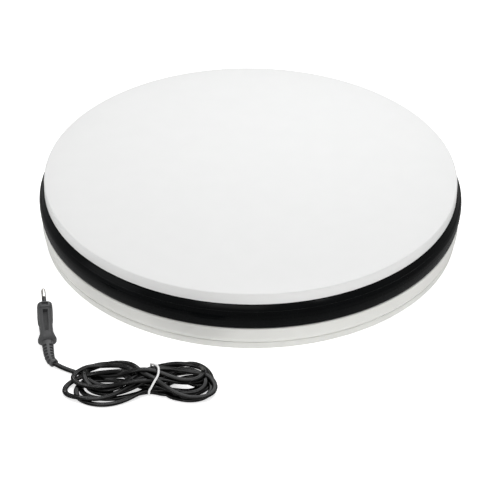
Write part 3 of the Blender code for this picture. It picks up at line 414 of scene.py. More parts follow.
def make_looks():
    looks = {name: moulded(name, *values) for name, values in MOULDED.items()}
    looks |= {name: metal(name, *values) for name, values in METALS.items()}
    looks["ring_black"] = ribbed_gloss("ring_black")
    looks["plate_white"].put("Specular IOR Level", 0.35)
    looks["base_white"].put("Subsurface Weight", 0.15)
    looks["base_white"].put("Subsurface Radius", (0.004, 0.004, 0.0035))
    looks["cord_black"].put("Specular IOR Level", 0.34)
    looks["lead_moulding"].put("Specular IOR Level", 0.5)
    return looks


MATERIALS = {name: look.material for name, look in make_looks().items()}


# ---- Camera, floor and light --------------------------------------------
def make_camera():
    camera = bpy.data.cameras.new("camera")
    camera.lens = CAMERA_LENS
    camera.sensor_width = SENSOR_WIDTH
    camera.clip_start = CLIP_NEAR
    camera.clip_end = CLIP_FAR
    obj = bpy.data.objects.new("camera", camera)
    right, up = Vector(CAMERA_RIGHT), Vector(CAMERA_UP)
    back = right.cross(up)
    turn = Matrix((right, up, back)).transposed()
    obj.matrix_world = Matrix.Translation(CAMERA_PLACE) @ turn.to_4x4()
    bpy.context.scene.collection.objects.link(obj)
    bpy.context.scene.camera = obj


def make_floor():
    bm = bmesh.new()
    bmesh.ops.create_grid(bm, x_segments=8, y_segments=8, size=FLOOR_HALF)
    look = Look("floor_white", (0.9, 0.9, 0.9), 0.9)
    look.put("Specular IOR Level", 0.0)
    look.tint(look.noise(3.0, 2.0), 0.995, 1.005)
    look.put("Emission Color", (1.0, 1.0, 1.0, 1.0))
    look.put("Emission Strength", FLOOR_GLOW)
    floor = mesh_from(bm, "floor", look.material)
    floor.visible_glossy = False


# Each light: name, place, the place it faces, its two sizes, power and colour.
LIGHTS = (
    ("softbox_top", (0.2, 0.4, 2.0), LIGHT_TARGET, (2.2, 2.2), 27.0, (0.985, 0.99, 1.0)),
    ("pool", (0.09, 0.13, 0.44), POOL_TARGET, (0.3, 0.3), 0.40, (0.97, 0.985, 1.0)),
    ("softbox_front", (-0.3, -2.1, 1.9), LIGHT_TARGET, (1.4, 1.4), 7.5, (1.0, 0.985, 0.96)),
    ("softbox_left", (-2.2, -0.7, 0.8), LIGHT_TARGET, (1.2, 1.2), 3.2, (1.0, 1.0, 1.0)),
    ("softbox_right", (2.2, -0.4, 1.0), LIGHT_TARGET, (1.2, 1.2), 0.6, (0.98, 0.99, 1.0)),
    ("strip_back", (-0.4, 2.3, 1.5), LIGHT_TARGET, (0.5, 0.14), 1.8, (1.0, 1.0, 1.0)),
    ("strip_left", (-0.75, -2.0, 2.1), LIGHT_TARGET, (0.10, 0.4), 2.4, (1.0, 1.0, 1.0)),
    ("strip_right", (1.35, -1.7, 1.7), LIGHT_TARGET, (0.10, 0.6), 2.4, (1.0, 1.0, 1.0)),
)


def area_light(name, place, target, size, power, colour):
    light = bpy.data.lights.new(name, "AREA")
    light.shape = "RECTANGLE"
    light.size, light.size_y = size
    light.energy = power
    light.color = colour
    obj = bpy.data.objects.new(name, light)
    obj.location = place
    way = Vector(target) - Vector(place)
    obj.rotation_euler = way.to_track_quat("-Z", "Y").to_euler()
    bpy.context.scene.collection.objects.link(obj)


def make_lights():
    scene = bpy.context.scene
    world = bpy.data.worlds.new("studio")
    world.use_nodes = True
    background = world.node_tree.nodes["Background"]
    background.inputs["Color"].default_value = (1.0, 1.0, 1.0, 1.0)
    background.inputs["Strength"].default_value = WORLD_GLOW
    scene.world = world
    scene.view_settings.view_transform = "Standard"
    for light in LIGHTS:
        area_light(*light)


make_camera()
make_floor()
make_lights()


# ---- The flex: a hank in a tie ------------------------------------------
LEFT, RIGHT = -1.0, 1.0
# Each pass through the tie, as its place across (from the middle line) and its height.
PASSES = (
    (0.0098, 0.0019),
    (-0.0098, 0.0019),
    (0.0049, 0.0019),
    (-0.0090, 0.0052),
    (0.0000, 0.0019),
    (-0.0020, 0.0150),
    (-0.0070, 0.0142),
    (-0.0049, 0.0019),
    (-0.0092, 0.0085),
    (-0.0040, 0.0181),
    (-0.0098, 0.0118),
    (0.0030, 0.0150),
    (-0.0088, 0.0168),
    (0.0078, 0.0150),
    (0.0010, 0.0183),
)
# Each lobe: which side of the tie, how far it reaches, its places across on the way out and
# on the way back (from the bundle's middle line), and the height that it settles from.
LOBES = (
    (LEFT, 0.0660, 0.0120, -0.0215, 0.0019),
    (RIGHT, 0.0520, -0.0150, 0.0325, 0.0040),
    (LEFT, 0.0690, 0.0060, -0.0300, 0.0030),
    (RIGHT, 0.0460, -0.0100, 0.0210, 0.0040),
    (LEFT, 0.0640, 0.0310, -0.0060, 0.0090),
    (RIGHT, 0.0500, 0.0300, -0.0050, 0.0110),
    (LEFT, 0.0730, -0.0115, 0.0195, 0.0170),
    (RIGHT, 0.0540, -0.0225, 0.0120, 0.0070),
    (LEFT, 0.0600, 0.0180, -0.0150, 0.0060),
    (RIGHT, 0.0490, 0.0165, -0.0160, 0.0110),
    (LEFT, 0.0800, 0.0080, -0.0250, 0.0110),
    (RIGHT, 0.0575, 0.0090, -0.0225, 0.0150),
    (LEFT, 0.0620, 0.0258, -0.0140, 0.0140),
    (RIGHT, 0.0470, 0.0250, -0.0075, 0.0150),
)


def local(x, y, z):
    """A point given from the tie and the bundle's middle line."""
    return (TIE_X + x, HANK_Y + y, z)


# How far a loop's tip leans towards its passes, and how fast a loop reaches its height.
TIP_PULL = 0.12
LIFT_RATE = 2.2


def lobe_points(lobe, start, end):
    """The bends of one loop of the hank, between two passes through the tie."""
    side, reach, out, back, lift = lobe
    tip = (out + back) / 2 + TIP_PULL * (start[0] + end[0]) / 2
    plan = (
        (0.14, start[0] + 0.18 * (out - start[0])),
        (0.36, start[0] + 0.72 * (out - start[0])),
        (0.60, out),
        (0.82, tip + 0.86 * (out - tip)),
        (0.96, tip + 0.48 * (out - tip)),
        (1.00, tip),
        (0.96, tip + 0.48 * (back - tip)),
        (0.82, tip + 0.86 * (back - tip)),
        (0.60, back),
        (0.36, end[0] + 0.72 * (back - end[0])),
        (0.14, end[0] + 0.18 * (back - end[0])),
    )
    tip_row = len(plan) // 2
    heights = []
    for row, (share, _) in enumerate(plan):
        near = (start if row < tip_row else end)[1]
        risen = lift if row == tip_row else near + (lift - near) * min(1.0, LIFT_RATE * share)
        heights.append(risen)
    return [local(side * reach * share, y, z) for (share, y), z in zip(plan, heights)]


def connector_rear():
    """The place that the flex leaves the connector by, and its way out."""
    way = Vector((math.cos(CONNECTOR_HEADING), math.sin(CONNECTOR_HEADING), 0.0))
    return CONNECTOR_FRONT - way * CONNECTOR_LENGTH, -way


# The relief's bend, from the pin face: back, aside and up, then its height and width.
RELIEF_BEND = (
    ((-0.0352, 0.0000, 0.0000), (0.0110, 0.0108)),
    ((-0.0424, -0.0001, 0.0003), (0.0092, 0.0102)),
    ((-0.0488, -0.0004, 0.0015), (0.0076, 0.0096)),
    ((-0.0560, -0.0014, 0.0036), (0.0066, 0.0088)),
    ((-0.0612, -0.0043, 0.0053), (0.0060, 0.0080)),
)
RELIEF_TURN = math.radians(12.0)
PLUG_TURN = (
    Matrix.Translation(PLUG_FACE)
    @ Matrix.Rotation(PLUG_HEADING, 4, "Z")
    @ Matrix.Rotation(-PLUG_PITCH, 4, "Y")
)


def relief_tip():
    return PLUG_TURN @ Vector(RELIEF_BEND[-1][0])


def relief_way():
    """The level way that the flex leaves the relief by."""
    last, before = (PLUG_TURN @ Vector(RELIEF_BEND[i][0]) for i in (-1, -2))
    way = last - before
    way.z = 0.0
    return (Matrix.Rotation(RELIEF_TURN, 3, "Z") @ way).normalized()


# The turn round the connector before the first pass, from the tie and the middle line.
FIRST_TURN = (
    (0.0400, -0.0060, 0.0060),
    (0.0480, 0.0010, 0.0040),
    (0.0480, 0.0130, 0.0030),
    (0.0370, 0.0200, 0.0025),
    (0.0170, 0.0150, 0.0020),
)
# The way out of the bundle after the last pass, from the tie and the middle line.
WAY_OUT = (
    (-0.0150, -0.0010, 0.0165),
    (-0.0330, 0.0025, 0.0130),
    (-0.0480, 0.0080, 0.0105),
    (-0.0590, 0.0125, 0.0080),
    (-0.0665, 0.0155, 0.0060),
    (-0.0730, 0.0182, 0.0040),
)
# The loose stretch up to the plug, in the shared frame.
LOOSE_STRETCH = ((-0.1645, -0.2335, 0.0025), (-0.1704, -0.2301, 0.0024))
CONNECTOR_LEAD_OUT = 0.008
PLUG_LEAD_IN = 0.0015
CURVE_SHARES = 24


def hank_route():
    """Bends of the whole lead, from the connector's rear to the plug's relief."""
    rear, way = connector_rear()
    route = [tuple(rear), tuple(rear + way * CONNECTOR_LEAD_OUT)]
    route += [local(*place) for place in FIRST_TURN]
    for lobe, start, end in zip(LOBES, PASSES, PASSES[1:]):
        route.append(local(0.0, *start))
        route += lobe_points(lobe, start, end)
    route.append(local(0.0, *PASSES[-1]))
    route += [local(*place) for place in WAY_OUT]
    route += LOOSE_STRETCH
    route += [tuple(relief_tip() + relief_way() * PLUG_LEAD_IN), tuple(relief_tip())]
    return np.array(route)


def curve_point(a, b, c, d, t):
    """The place a share t of the way from b to c on a Catmull-Rom curve."""
    bend = (-a + 3 * b - 3 * c + d) * t**3 + (2 * a - 5 * b + 4 * c - d) * t**2
    return b + ((c - a) * t + bend) / 2


def padded(rows):
    """The rows with one more at each end, carried straight on."""
    return np.vstack([2 * rows[0] - rows[1], rows, 2 * rows[-1] - rows[-2]])


def run_along(points):
    """The distance travelled along a line of points, at each of them."""
    steps = np.linalg.norm(np.diff(points, axis=0), axis=1)
    return np.concatenate([[0.0], np.cumsum(steps)])


def resample(points, step):
    """Evenly spaced points on a Catmull-Rom curve through the bends."""
    bends = padded(points)
    shares = np.linspace(0.0, 1.0, CURVE_SHARES, endpoint=False)[:, None]
    dense = [curve_point(*four, shares) for four in zip(bends, bends[1:], bends[2:], bends[3:])]
    dense = np.vstack(dense + [points[-1:]])
    runs = run_along(dense)
    count = round(runs[-1] / step)
    marks = np.linspace(0.0, runs[-1], count + 1)
    return np.stack([np.interp(marks, runs, dense[:, i]) for i in range(3)], axis=1)


# The connector's body as the flex meets it, from its front: half width and half height, the
# place where it starts to taper and for how long, and how much it loses.
BODY_FROM = -0.0025
BODY_TO = 0.0500
BODY_HALF_WIDE = 0.0088
BODY_HALF_HIGH = 0.0044
TAPER_FROM = 0.027
TAPER_RUN = 0.021
TAPER_WIDE = 0.0055
TAPER_HIGH = 0.0020
BODY_GAP = 0.0001


def keep_off_connector(p, free):
    """Pushes points out of the connector's body, by the shortest way."""
    _, way = connector_rear()
    side = Vector((-way.y, way.x, 0.0))
    offset = p - np.array(CONNECTOR_FRONT)
    along = offset @ np.array(way)
    across = offset @ np.array(side)
    up = offset[:, 2]
    taper = np.clip((along - TAPER_FROM) / TAPER_RUN, 0.0, 1.0)
    room_side = (BODY_HALF_WIDE - TAPER_WIDE * taper) + FLEX_WIDE / 2
    room_up = (BODY_HALF_HIGH - TAPER_HIGH * taper) + FLEX_THIN / 2 + BODY_GAP
    inside = (along > BODY_FROM) & (along < BODY_TO) & free
    deep_side = room_side - np.abs(across)
    deep_up = room_up - np.abs(up)
    hit = inside & (deep_side > 0) & (deep_up > 0)
    by_up = hit & (deep_up <= deep_side)
    by_side = hit & (deep_up > deep_side)
    p[by_up, 2] += np.sign(up[by_up]) * deep_up[by_up]
    push = np.sign(across[by_side]) * deep_side[by_side]
    p[by_side] += push[:, None] * np.array(side)


SETTLE_ROUNDS = 420
# In one round: how far the flex sinks at first, and what share of the way it goes back to its
# plan and towards straight.
SINK = 0.00012
PLAN_PULL = 0.07
STRAIGHTEN = 0.20
CROWDING = 0.6
# Points this close along the flex don't push each other off.
NEIGHBOURS = 4
PINNED = 3
TIE_HALF_X = 0.0045
TIE_HALF_Y = 0.0100
TIE_TOP = 0.0195
NEAR_ZERO = 1e-9


def even_out(p, rest, free):
    """Brings each step between two points back towards its own length."""
    step = np.diff(p, axis=0)
    size = np.linalg.norm(step, axis=1)
    fix = (0.5 * (size - rest) / size)[:, None] * step
    p[:-1][free[:-1]] += fix[free[:-1]]
    p[1:][free[1:]] -= fix[free[1:]]


def push_apart(p, pairs, free):
    """Moves points that are in each other's way, with the flat flex taken as a wide one."""
    squash = FLEX_WIDE / FLEX_THIN
    scaled = p * np.array([1.0, 1.0, squash])
    gap = scaled[pairs[0]] - scaled[pairs[1]]
    room = np.einsum("ij,ij->i", gap, gap)
    hit = room < FLEX_WIDE**2
    first, second = pairs[0][hit], pairs[1][hit]
    way = gap[hit]
    size = np.sqrt(room[hit]) + NEAR_ZERO
    push = (0.5 * (FLEX_WIDE - size) / size)[:, None] * way
    push[:, 2] /= squash
    moved = np.zeros_like(p)
    times = np.zeros(len(p))
    np.add.at(moved, first, push)
    np.add.at(moved, second, -push)
    np.add.at(times, first, 1.0)
    np.add.at(times, second, 1.0)
    moved /= np.maximum(1.0, times)[:, None] ** CROWDING
    p[free] += moved[free]


def settle(points, rounds):
    """Lets the flex lie down: fixed length, no part in another, on the floor and inside the tie."""
    p = points.copy()
    rest = np.linalg.norm(np.diff(points, axis=0), axis=1)
    low = FLOOR_LIFT + FLEX_THIN / 2
    free = np.ones(len(p), bool)
    free[:PINNED] = False
    free[-PINNED:] = False
    pairs = np.triu_indices(len(p), NEIGHBOURS)
    held = (np.abs(points[:, 0] - TIE_X) < TIE_HALF_X) & free
    for turn in range(rounds):
        share = turn / rounds
        p[free, 2] -= SINK * (1.0 - share)
        p[free, :2] += PLAN_PULL * (points[free, :2] - p[free, :2])
        bend = (p[:-2] + p[2:]) / 2 - p[1:-1]
        p[1:-1][free[1:-1]] += STRAIGHTEN * bend[free[1:-1]]
        for _ in range(2):
            even_out(p, rest, free)
        push_apart(p, pairs, free)
        keep_off_connector(p, free)
        p[held, 1] = np.clip(p[held, 1], HANK_Y - TIE_HALF_Y, HANK_Y + TIE_HALF_Y)
        p[held, 2] = np.minimum(p[held, 2], TIE_TOP)
        p[:, 2] = np.maximum(p[:, 2], low)
    return p


def smoothed(points, rounds):
    """Takes small kinks out of a line of points, leaving its ends."""
    p = points.copy()
    for _ in range(rounds):
        p[1:-1] = 0.5 * p[1:-1] + 0.25 * (p[:-2] + p[2:])
    return p


CORE_STEPS = 6
CORE_SWEEP = 200.0
GROOVE_SHARE = 0.80


def flex_section():
    """Outline of the flat twin flex: two round cores side by side with a shallow groove between."""
    radius = FLEX_THIN / 2
    reach = FLEX_WIDE / 2 - radius
    points = []
    for side, first in ((1, -100.0), (-1, 80.0)):
        for i in range(CORE_STEPS + 1):
            angle = math.radians(first + CORE_SWEEP * i / CORE_STEPS)
            points.append((side * reach + radius * math.cos(angle), radius * math.sin(angle)))
        points.append((0.0, side * radius * GROOVE_SHARE))
    return points


def flex_rings(points):
    """One ring of the flex's section at each point, its wide way level."""
    ways = np.gradient(points, axis=0)
    ways /= np.linalg.norm(ways, axis=1)[:, None]
    outline = flex_section()
    rings = []
    for place, way in zip(points, ways):
        side = Vector((way[1], -way[0], 0.0)).normalized()
        up = side.cross(Vector(way)).normalized()
        rings.append([Vector(place) + side * a + up * b for a, b in outline])
    return rings


def make_flex():
    route = resample(hank_route(), FLEX_STEP)
    settled = settle(route, SETTLE_ROUNDS)
    path = resample(smoothed(settled, 2), FLEX_FINE_STEP)
    path[:, 2] = np.maximum(path[:, 2], FLOOR_LIFT + FLEX_THIN / 2)
    bm = lofted_bm(flex_rings(path))
    flex = mesh_from(bm, "lead_flex", MATERIALS["cord_black"], FLEX_SHARP_DEGREES)
    return stand_in(flex, "base", "cord_black", "lead_cable"), path


flex, flex_path = make_flex()


# ---- Plug, pins, connector and tie --------------------------------------
RING_POINTS = 40
# Distance behind the pin face, height, width and boxiness of the plug's body.
PLUG_BODY = (
    (0.0000, 0.0333, 0.0116, 4.0),
    (0.0006, 0.0347, 0.0136, 4.5),
    (0.0014, 0.0353, 0.0144, 5.0),
    (0.0054, 0.0353, 0.0144, 5.0),
    (0.0062, 0.0347, 0.0138, 5.0),
    (0.0066, 0.0328, 0.0128, 5.0),
    (0.0080, 0.0320, 0.0127, 5.0),
    (0.0140, 0.0283, 0.0125, 5.0),
    (0.0200, 0.0243, 0.0122, 4.5),
    (0.0250, 0.0210, 0.0121, 4.0),
    (0.0275, 0.0194, 0.0130, 3.5),
    (0.0300, 0.0178, 0.0154, 3.0),
    (0.0318, 0.0168, 0.0173, 2.6),
    (0.0328, 0.0160, 0.0172, 2.5),
    (0.0335, 0.0146, 0.0140, 2.4),
    (0.0345, 0.0124, 0.0112, 2.4),
)


def bar_ring(width, depth, boxy=2.6):
    """A rounded bar's outline, wide along Z, as (Y, Z) pairs."""
    points = []
    for i in range(RING_POINTS):
        angle = 2.0 * math.pi * i / RING_POINTS
        across, along = math.sin(angle), math.cos(angle)
        y = math.copysign(abs(across) ** (2.0 / boxy), across) * depth / 2
        z = math.copysign(abs(along) ** (2.0 / boxy), along) * width / 2
        points.append((y, z))
    return points


# A hair over 1, so that the last mark falls inside the last span.
LAST_MARK = 1.000001


def curve_through(values, count):
    """Evenly shared points on a Catmull-Rom curve through rows of numbers."""
    rows = np.array(values, float)
    bends = padded(rows)
    out = []
    for mark in np.linspace(0.0, len(rows) - LAST_MARK, count):
        i = int(mark)
        out.append(curve_point(*bends[i : i + 4], mark - i))
    return np.array(out)


# A relief's slots: the share of its length before them and that they fill, where a slot opens
# and closes in its own pitch, how wide the spine between two slots is, and what share of the
# size a slot leaves.
SLOTS_FROM = 0.10
SLOTS_SPAN = 0.80
SLOT_OPENS = 0.30
SLOT_CLOSES = 0.78
SPINE_SHARE = 0.17
SLOT_INSET = 0.52
SLOT_INSET_HIGH = 0.4
PLUG_RELIEF_RINGS = 61
CONNECTOR_RELIEF_RINGS = 49


def relief_rings(bend, count, wide):
    """Rings of a strain relief: slots cut in from both sides of a spine, along a bent path."""
    rows = curve_through([(*place, *size) for place, size in bend], count)
    ways = np.gradient(rows[:, :3], axis=0)
    rings = []
    for index, (row, way) in enumerate(zip(rows, ways)):
        way = Vector(way).normalized()
        up = (wide - way * wide.dot(way)).normalized()
        side = up.cross(way).normalized()
        share = (index / (count - 1) - SLOTS_FROM) / SLOTS_SPAN * RELIEF_SLOTS
        slotted = 0.0 < share < RELIEF_SLOTS and SLOT_OPENS < share % 1.0 < SLOT_CLOSES
        ring = []
        for across, along in bar_ring(row[3], row[4]):
            spine = abs(across) < SPINE_SHARE * row[4]
            inset = SLOT_INSET if slotted and not spine else 1.0
            inset_high = SLOT_INSET_HIGH + (1.0 - SLOT_INSET_HIGH) * inset
            ring.append(Vector(row[:3]) + side * (across * inset) + up * (along * inset_high))
        rings.append(ring)
    return rings


# The plug's top and bottom each have a long groove, a notch in the collar and a sunk panel.
GROOVE_ROWS = slice(6, 11)
GROOVE_SINK = 0.0045
GROOVE_CLEAR = 0.004
GROOVE_HALF = 0.0023
GROOVE_HALF_REAR = 0.0018
GROOVE_REAR_FROM = 0.024
NOTCH = ((-0.0052, -0.0030, 0.0), (-0.0016, 0.0030, 0.004), 0.0003)
NOTCH_LOW = {1: 0.0158, -1: -0.0198}
SUNK_PANEL = ((-0.0225, -0.006, -0.0075), (-0.0085, 0.006, 0.0075), 0.0008)
SUNK_PANEL_SHIFT = 0.0114
PIN_HALF_PITCH = 0.0095
PIN_SOCKET_R = 0.0023
PIN_SOCKET_DEPTH = -0.0053
HOLE_MOUTH = 0.001
ALONG_PLUG = Matrix.Rotation(math.pi / 2, 4, "Y")


def plug_groove(top):
    """A cutter for the groove that follows the taper of the plug's narrow side."""
    rings = []
    for back, width, _, _ in PLUG_BODY[GROOVE_ROWS]:
        low, high = top * (width / 2 - GROOVE_SINK), top * (width / 2 + GROOVE_CLEAR)
        half = GROOVE_HALF if back < GROOVE_REAR_FROM else GROOVE_HALF_REAR
        corners = ((-half, low), (half, low), (half, high), (-half, high))
        rings.append([Vector((-back, y, z)) for y, z in corners])
    return lofted_bm(rings)


def make_plug():
    rings = [
        [Vector((-back, y, z)) for y, z in bar_ring(width, depth, boxy)]
        for back, width, depth, boxy in PLUG_BODY
    ]
    rings += relief_rings(RELIEF_BEND, PLUG_RELIEF_RINGS, Vector((0.0, 0.0, 1.0)))
    material = MATERIALS["lead_moulding"]
    plug = mesh_from(lofted_bm(rings), "lead_plug_moulding", material, MOULDING_SHARP_DEGREES)
    for top in (1, -1):
        boolean(plug, plug_groove(top))
        boolean(plug, placed(box_bm(*NOTCH), Matrix.Translation((0.0, 0.0, NOTCH_LOW[top]))))
        shift = Matrix.Translation((0.0, top * SUNK_PANEL_SHIFT, 0.0))
        boolean(plug, placed(box_bm(*SUNK_PANEL), shift))
    for side in (1, -1):
        turn = Matrix.Translation((0.0, 0.0, side * PIN_HALF_PITCH)) @ ALONG_PLUG
        boolean(plug, placed(rod_bm(PIN_SOCKET_R, HOLE_MOUTH, PIN_SOCKET_DEPTH), turn))
    plug.data.transform(PLUG_TURN)
    stand_in(plug, "base", "lead_moulding", "lead_plug_body")
    return [plug, *make_pin(1, -PIN_HALF_PITCH), *make_pin(2, PIN_HALF_PITCH)]


# Radius and distance ahead of the pin face: the bare end's root, and the sleeve round it.
PIN_ROOT = (
    (0.0020, 0.0165),
    (0.0020, 0.0092),
    (0.0016, 0.0090),
    (0.0016, 0.0080),
    (0.0, 0.0080),
)
PIN_SLEEVE = (
    (0.00165, 0.0089),
    (0.0019, 0.0088),
    (0.0020, 0.0084),
    (0.0020, -0.0048),
    (0.00165, -0.0048),
)
PIN_TIP = 0.0190
PIN_TIP_EDGE = 0.0016


def make_pin(index, height):
    """A round pin: a sleeved root and a bare rounded end."""
    turn = PLUG_TURN @ Matrix.Translation((0.0, 0.0, height)) @ ALONG_PLUG
    bare = [(0.0, PIN_TIP), *arc(0.0, PIN_TIP - PIN_TIP_EDGE, PIN_TIP_EDGE, 84, 14, 5), *PIN_ROOT]
    bare = placed(turned_bm(bare, PIN_STEPS, False), turn)
    metal_end = mesh_from(bare, f"lead_pin_end_{index}", MATERIALS["nickel"])
    root = placed(turned_bm(PIN_SLEEVE, PIN_STEPS), turn)
    sleeve = mesh_from(root, f"lead_pin_sleeve_{index}", MATERIALS["pin_sleeve"])
    stand_in(metal_end, "base", "nickel", f"lead_plug_pin_{index}")
    stand_in(sleeve, "base", "lead_moulding")
    return [metal_end, sleeve]


# The bend of the connector's relief, from its front, then its width and height.
CONNECTOR_RELIEF = (
    ((-0.0268, 0.0, 0.0), (0.0118, 0.0080)),
    ((-0.0340, 0.0, 0.0), (0.0100, 0.0068)),
    ((-0.0420, 0.0, 0.0), (0.0078, 0.0054)),
    ((-0.0480, 0.0, 0.0), (0.0064, 0.0046)),
)


# Distance behind the front, width, depth and waist of the connector's body.
CONNECTOR_BODY = (
    (0.0000, 0.0146, 0.0062, 0.10),
    (0.0006, 0.0156, 0.0072, 0.12),
    (0.0020, 0.0158, 0.0074, 0.14),
    (0.0130, 0.0158, 0.0074, 0.14),
    (0.0133, 0.0168, 0.0082, 0.02),
    (0.0142, 0.0176, 0.0088, 0.0),
    (0.0200, 0.0166, 0.0088, 0.0),
    (0.0258, 0.0146, 0.0087, 0.0),
    (0.0266, 0.0130, 0.0083, 0.0),
)
CONNECTOR_BOXY = 3.4
WAIST_REACH = 0.10
SOCKET_R = 0.0015
SOCKET_DEPTH = -0.011
SOCKET_HALF_PITCH = 0.0043
GRIP_ROWS = 5
GRIP_FIRST = -0.0160
GRIP_PITCH = 0.0019
GRIP_HALF = 0.0004
GRIP_HALF_WIDE = 0.0052
GRIP_HEIGHT = 0.0044


def eight_ring(width, depth, waist):
    """A figure-of-eight outline, wide along Y, with as many points as a bar ring."""
    ring = []
    for z, y in bar_ring(width, depth, CONNECTOR_BOXY):
        pinch = 1.0 - waist * math.exp(-((y / (WAIST_REACH * width)) ** 2))
        ring.append((y, z * pinch))
    return ring


def make_connector():
    rings = [
        [Vector((-back, y, z)) for y, z in eight_ring(width, depth, waist)]
        for back, width, depth, waist in CONNECTOR_BODY
    ]
    rings += relief_rings(CONNECTOR_RELIEF, CONNECTOR_RELIEF_RINGS, Vector((0.0, 1.0, 0.0)))
    material = MATERIALS["lead_moulding"]
    name = "lead_connector_moulding"
    connector = mesh_from(lofted_bm(rings), name, material, MOULDING_SHARP_DEGREES)
    for side in (1, -1):
        turn = Matrix.Translation((0.0, side * SOCKET_HALF_PITCH, 0.0)) @ ALONG_PLUG
        boolean(connector, placed(rod_bm(SOCKET_R, HOLE_MOUTH, SOCKET_DEPTH), turn))
    for row in range(GRIP_ROWS):
        x = GRIP_FIRST - GRIP_PITCH * row
        low = (x - GRIP_HALF, -GRIP_HALF_WIDE, -GRIP_HALF)
        high = (x + GRIP_HALF, GRIP_HALF_WIDE, GRIP_HALF)
        for top in (1, -1):
            shift = Matrix.Translation((0.0, 0.0, top * GRIP_HEIGHT))
            boolean(connector, placed(box_bm(low, high), shift))
    turn = Matrix.Translation(CONNECTOR_FRONT) @ Matrix.Rotation(CONNECTOR_HEADING, 4, "Z")
    connector.data.transform(turn)
    return stand_in(connector, "base", "lead_moulding", "lead_connector")


def hull(points):
    """The convex outline of 2-D points, anticlockwise."""
    points = sorted(set(map(tuple, points)))

    def half(run):
        out = []
        for p in run:
            while len(out) > 1:
                (ax, ay), (bx, by) = out[-2], out[-1]
                if (bx - ax) * (p[1] - ay) - (by - ay) * (p[0] - ax) > 0:
                    break
                out.pop()
            out.append(p)
        return out[:-1]

    return half(points) + half(points[::-1])


TIE_R = 0.00100
TIE_BOW = 0.0085
TIE_SHIFT = 0.0026
TIE_REACH = 0.005
TIE_POINTS = 96
TIE_SIDES = 12
TIE_SHARP_DEGREES = 60.0
TIE_GAP = 0.0004
TIE_FLOOR_GAP = 0.0002


def rounded(loop, rounds):
    """Takes the corners off a closed loop of points."""
    for _ in range(rounds):
        loop = 0.5 * loop + 0.25 * (np.roll(loop, 1, axis=0) + np.roll(loop, -1, axis=0))
    return loop


def tie_loop():
    """The tie's centreline: tight round the bundle, bowed to the right over its top."""
    around = []
    for ring in flex_rings(flex_path):
        around += [(p.y, p.z) for p in ring if abs(p.x - TIE_X) < TIE_REACH]
    outline = np.array(hull(around))
    outline = np.vstack([outline, outline[:1]])
    runs = run_along(outline)
    marks = np.linspace(0.0, runs[-1], TIE_POINTS + 1)[:-1]
    loop = np.stack([np.interp(marks, runs, outline[:, i]) for i in range(2)], axis=1)
    loop = rounded(loop, 6)
    middle = (loop.max(axis=0) + loop.min(axis=0)) / 2
    away = loop - middle
    away /= np.linalg.norm(away, axis=1)[:, None]
    loop += away * (TIE_R + TIE_GAP)
    loop[:, 1] = np.maximum(loop[:, 1], TIE_FLOOR_GAP + TIE_R)
    top = np.clip((loop[:, 1] - middle[1]) / (loop[:, 1].max() - middle[1]) + 0.25, 0.0, 1.0)
    spread = (loop[:, 0] - middle[0]) / (loop[:, 0].max() - middle[0])
    bow = TIE_BOW * top**0.7 * (1.0 - 0.85 * np.clip(spread + 0.3, -1.0, 1.0) ** 2)
    return rounded(np.column_stack([TIE_X - TIE_SHIFT + bow, loop]), 3)


def make_tie():
    """A round-wire tie drawn tight round the bundle."""
    places = tie_loop()
    ways = np.roll(places, -1, axis=0) - np.roll(places, 1, axis=0)
    turns = [2 * math.pi * i / TIE_SIDES for i in range(TIE_SIDES)]
    bm = bmesh.new()
    rings = []
    for place, way in zip(places, ways):
        way = Vector(way).normalized()
        side = way.cross(Vector((1.0, 0.0, 0.0))).normalized()
        up = way.cross(side).normalized()
        ring = [Vector(place) + (side * math.cos(a) + up * math.sin(a)) * TIE_R for a in turns]
        rings.append([bm.verts.new(p) for p in ring])
    for near, far in zip(rings, rings[1:] + rings[:1]):
        for i in range(TIE_SIDES):
            j = (i + 1) % TIE_SIDES
            bm.faces.new((near[i], near[j], far[j], far[i]))
    tie = mesh_from(bm, "lead_wire_tie", MATERIALS["tie_white"], TIE_SHARP_DEGREES)
    return stand_in(tie, "base", "tie_white", "lead_tie")


lead_pieces = make_plug() + [make_connector(), make_tie()]


# ---- Turntable: plate, ring, base ---------------------------------------
def make_plate():
    """The disc: a flat top with a rounded edge, a skirt, and a boss with ribs under it."""
    skirt_edge_r = PLATE_R - PLATE_SKIRT_EDGE
    skirt_edge_z = PLATE_SKIRT_LOW + PLATE_SKIRT_EDGE
    profile = [(0.0, PLATE_TOP)]
    profile += [(PLATE_R * share, PLATE_TOP) for share in PLATE_RINGS]
    profile += arc(PLATE_R - PLATE_EDGE, PLATE_TOP - PLATE_EDGE, PLATE_EDGE, 90, 0, 6)
    profile += arc(skirt_edge_r, skirt_edge_z, PLATE_SKIRT_EDGE, 0, -90, 3)
    profile += [(PLATE_INNER_R, PLATE_SKIRT_LOW), (PLATE_INNER_R, PLATE_UNDER)]
    profile += [(PLATE_BOSS_R, PLATE_UNDER), (PLATE_BOSS_R, PLATE_BOSS_LOW)]
    profile += [(PLATE_POCKET_R, PLATE_BOSS_LOW), (PLATE_POCKET_R, PLATE_UNDER)]
    profile += [(0.0, PLATE_UNDER)]
    plate = turned("top_plate_moulding", profile, MATERIALS["plate_white"], closed=False)
    low = (PLATE_RIB_NEAR, -PLATE_RIB_HALF, PLATE_BOSS_LOW)
    high = (PLATE_RIB_FAR, PLATE_RIB_HALF, PLATE_UNDER + PLATE_RIB_SINK)
    for i in range(PLATE_RIBS):
        turn = Matrix.Rotation(math.radians(60.0 * i + 30.0), 4, "Z")
        boolean(plate, placed(box_bm(low, high), turn), "UNION")
    stand_in(plate, "turntable", "white_abs", "top_plate")


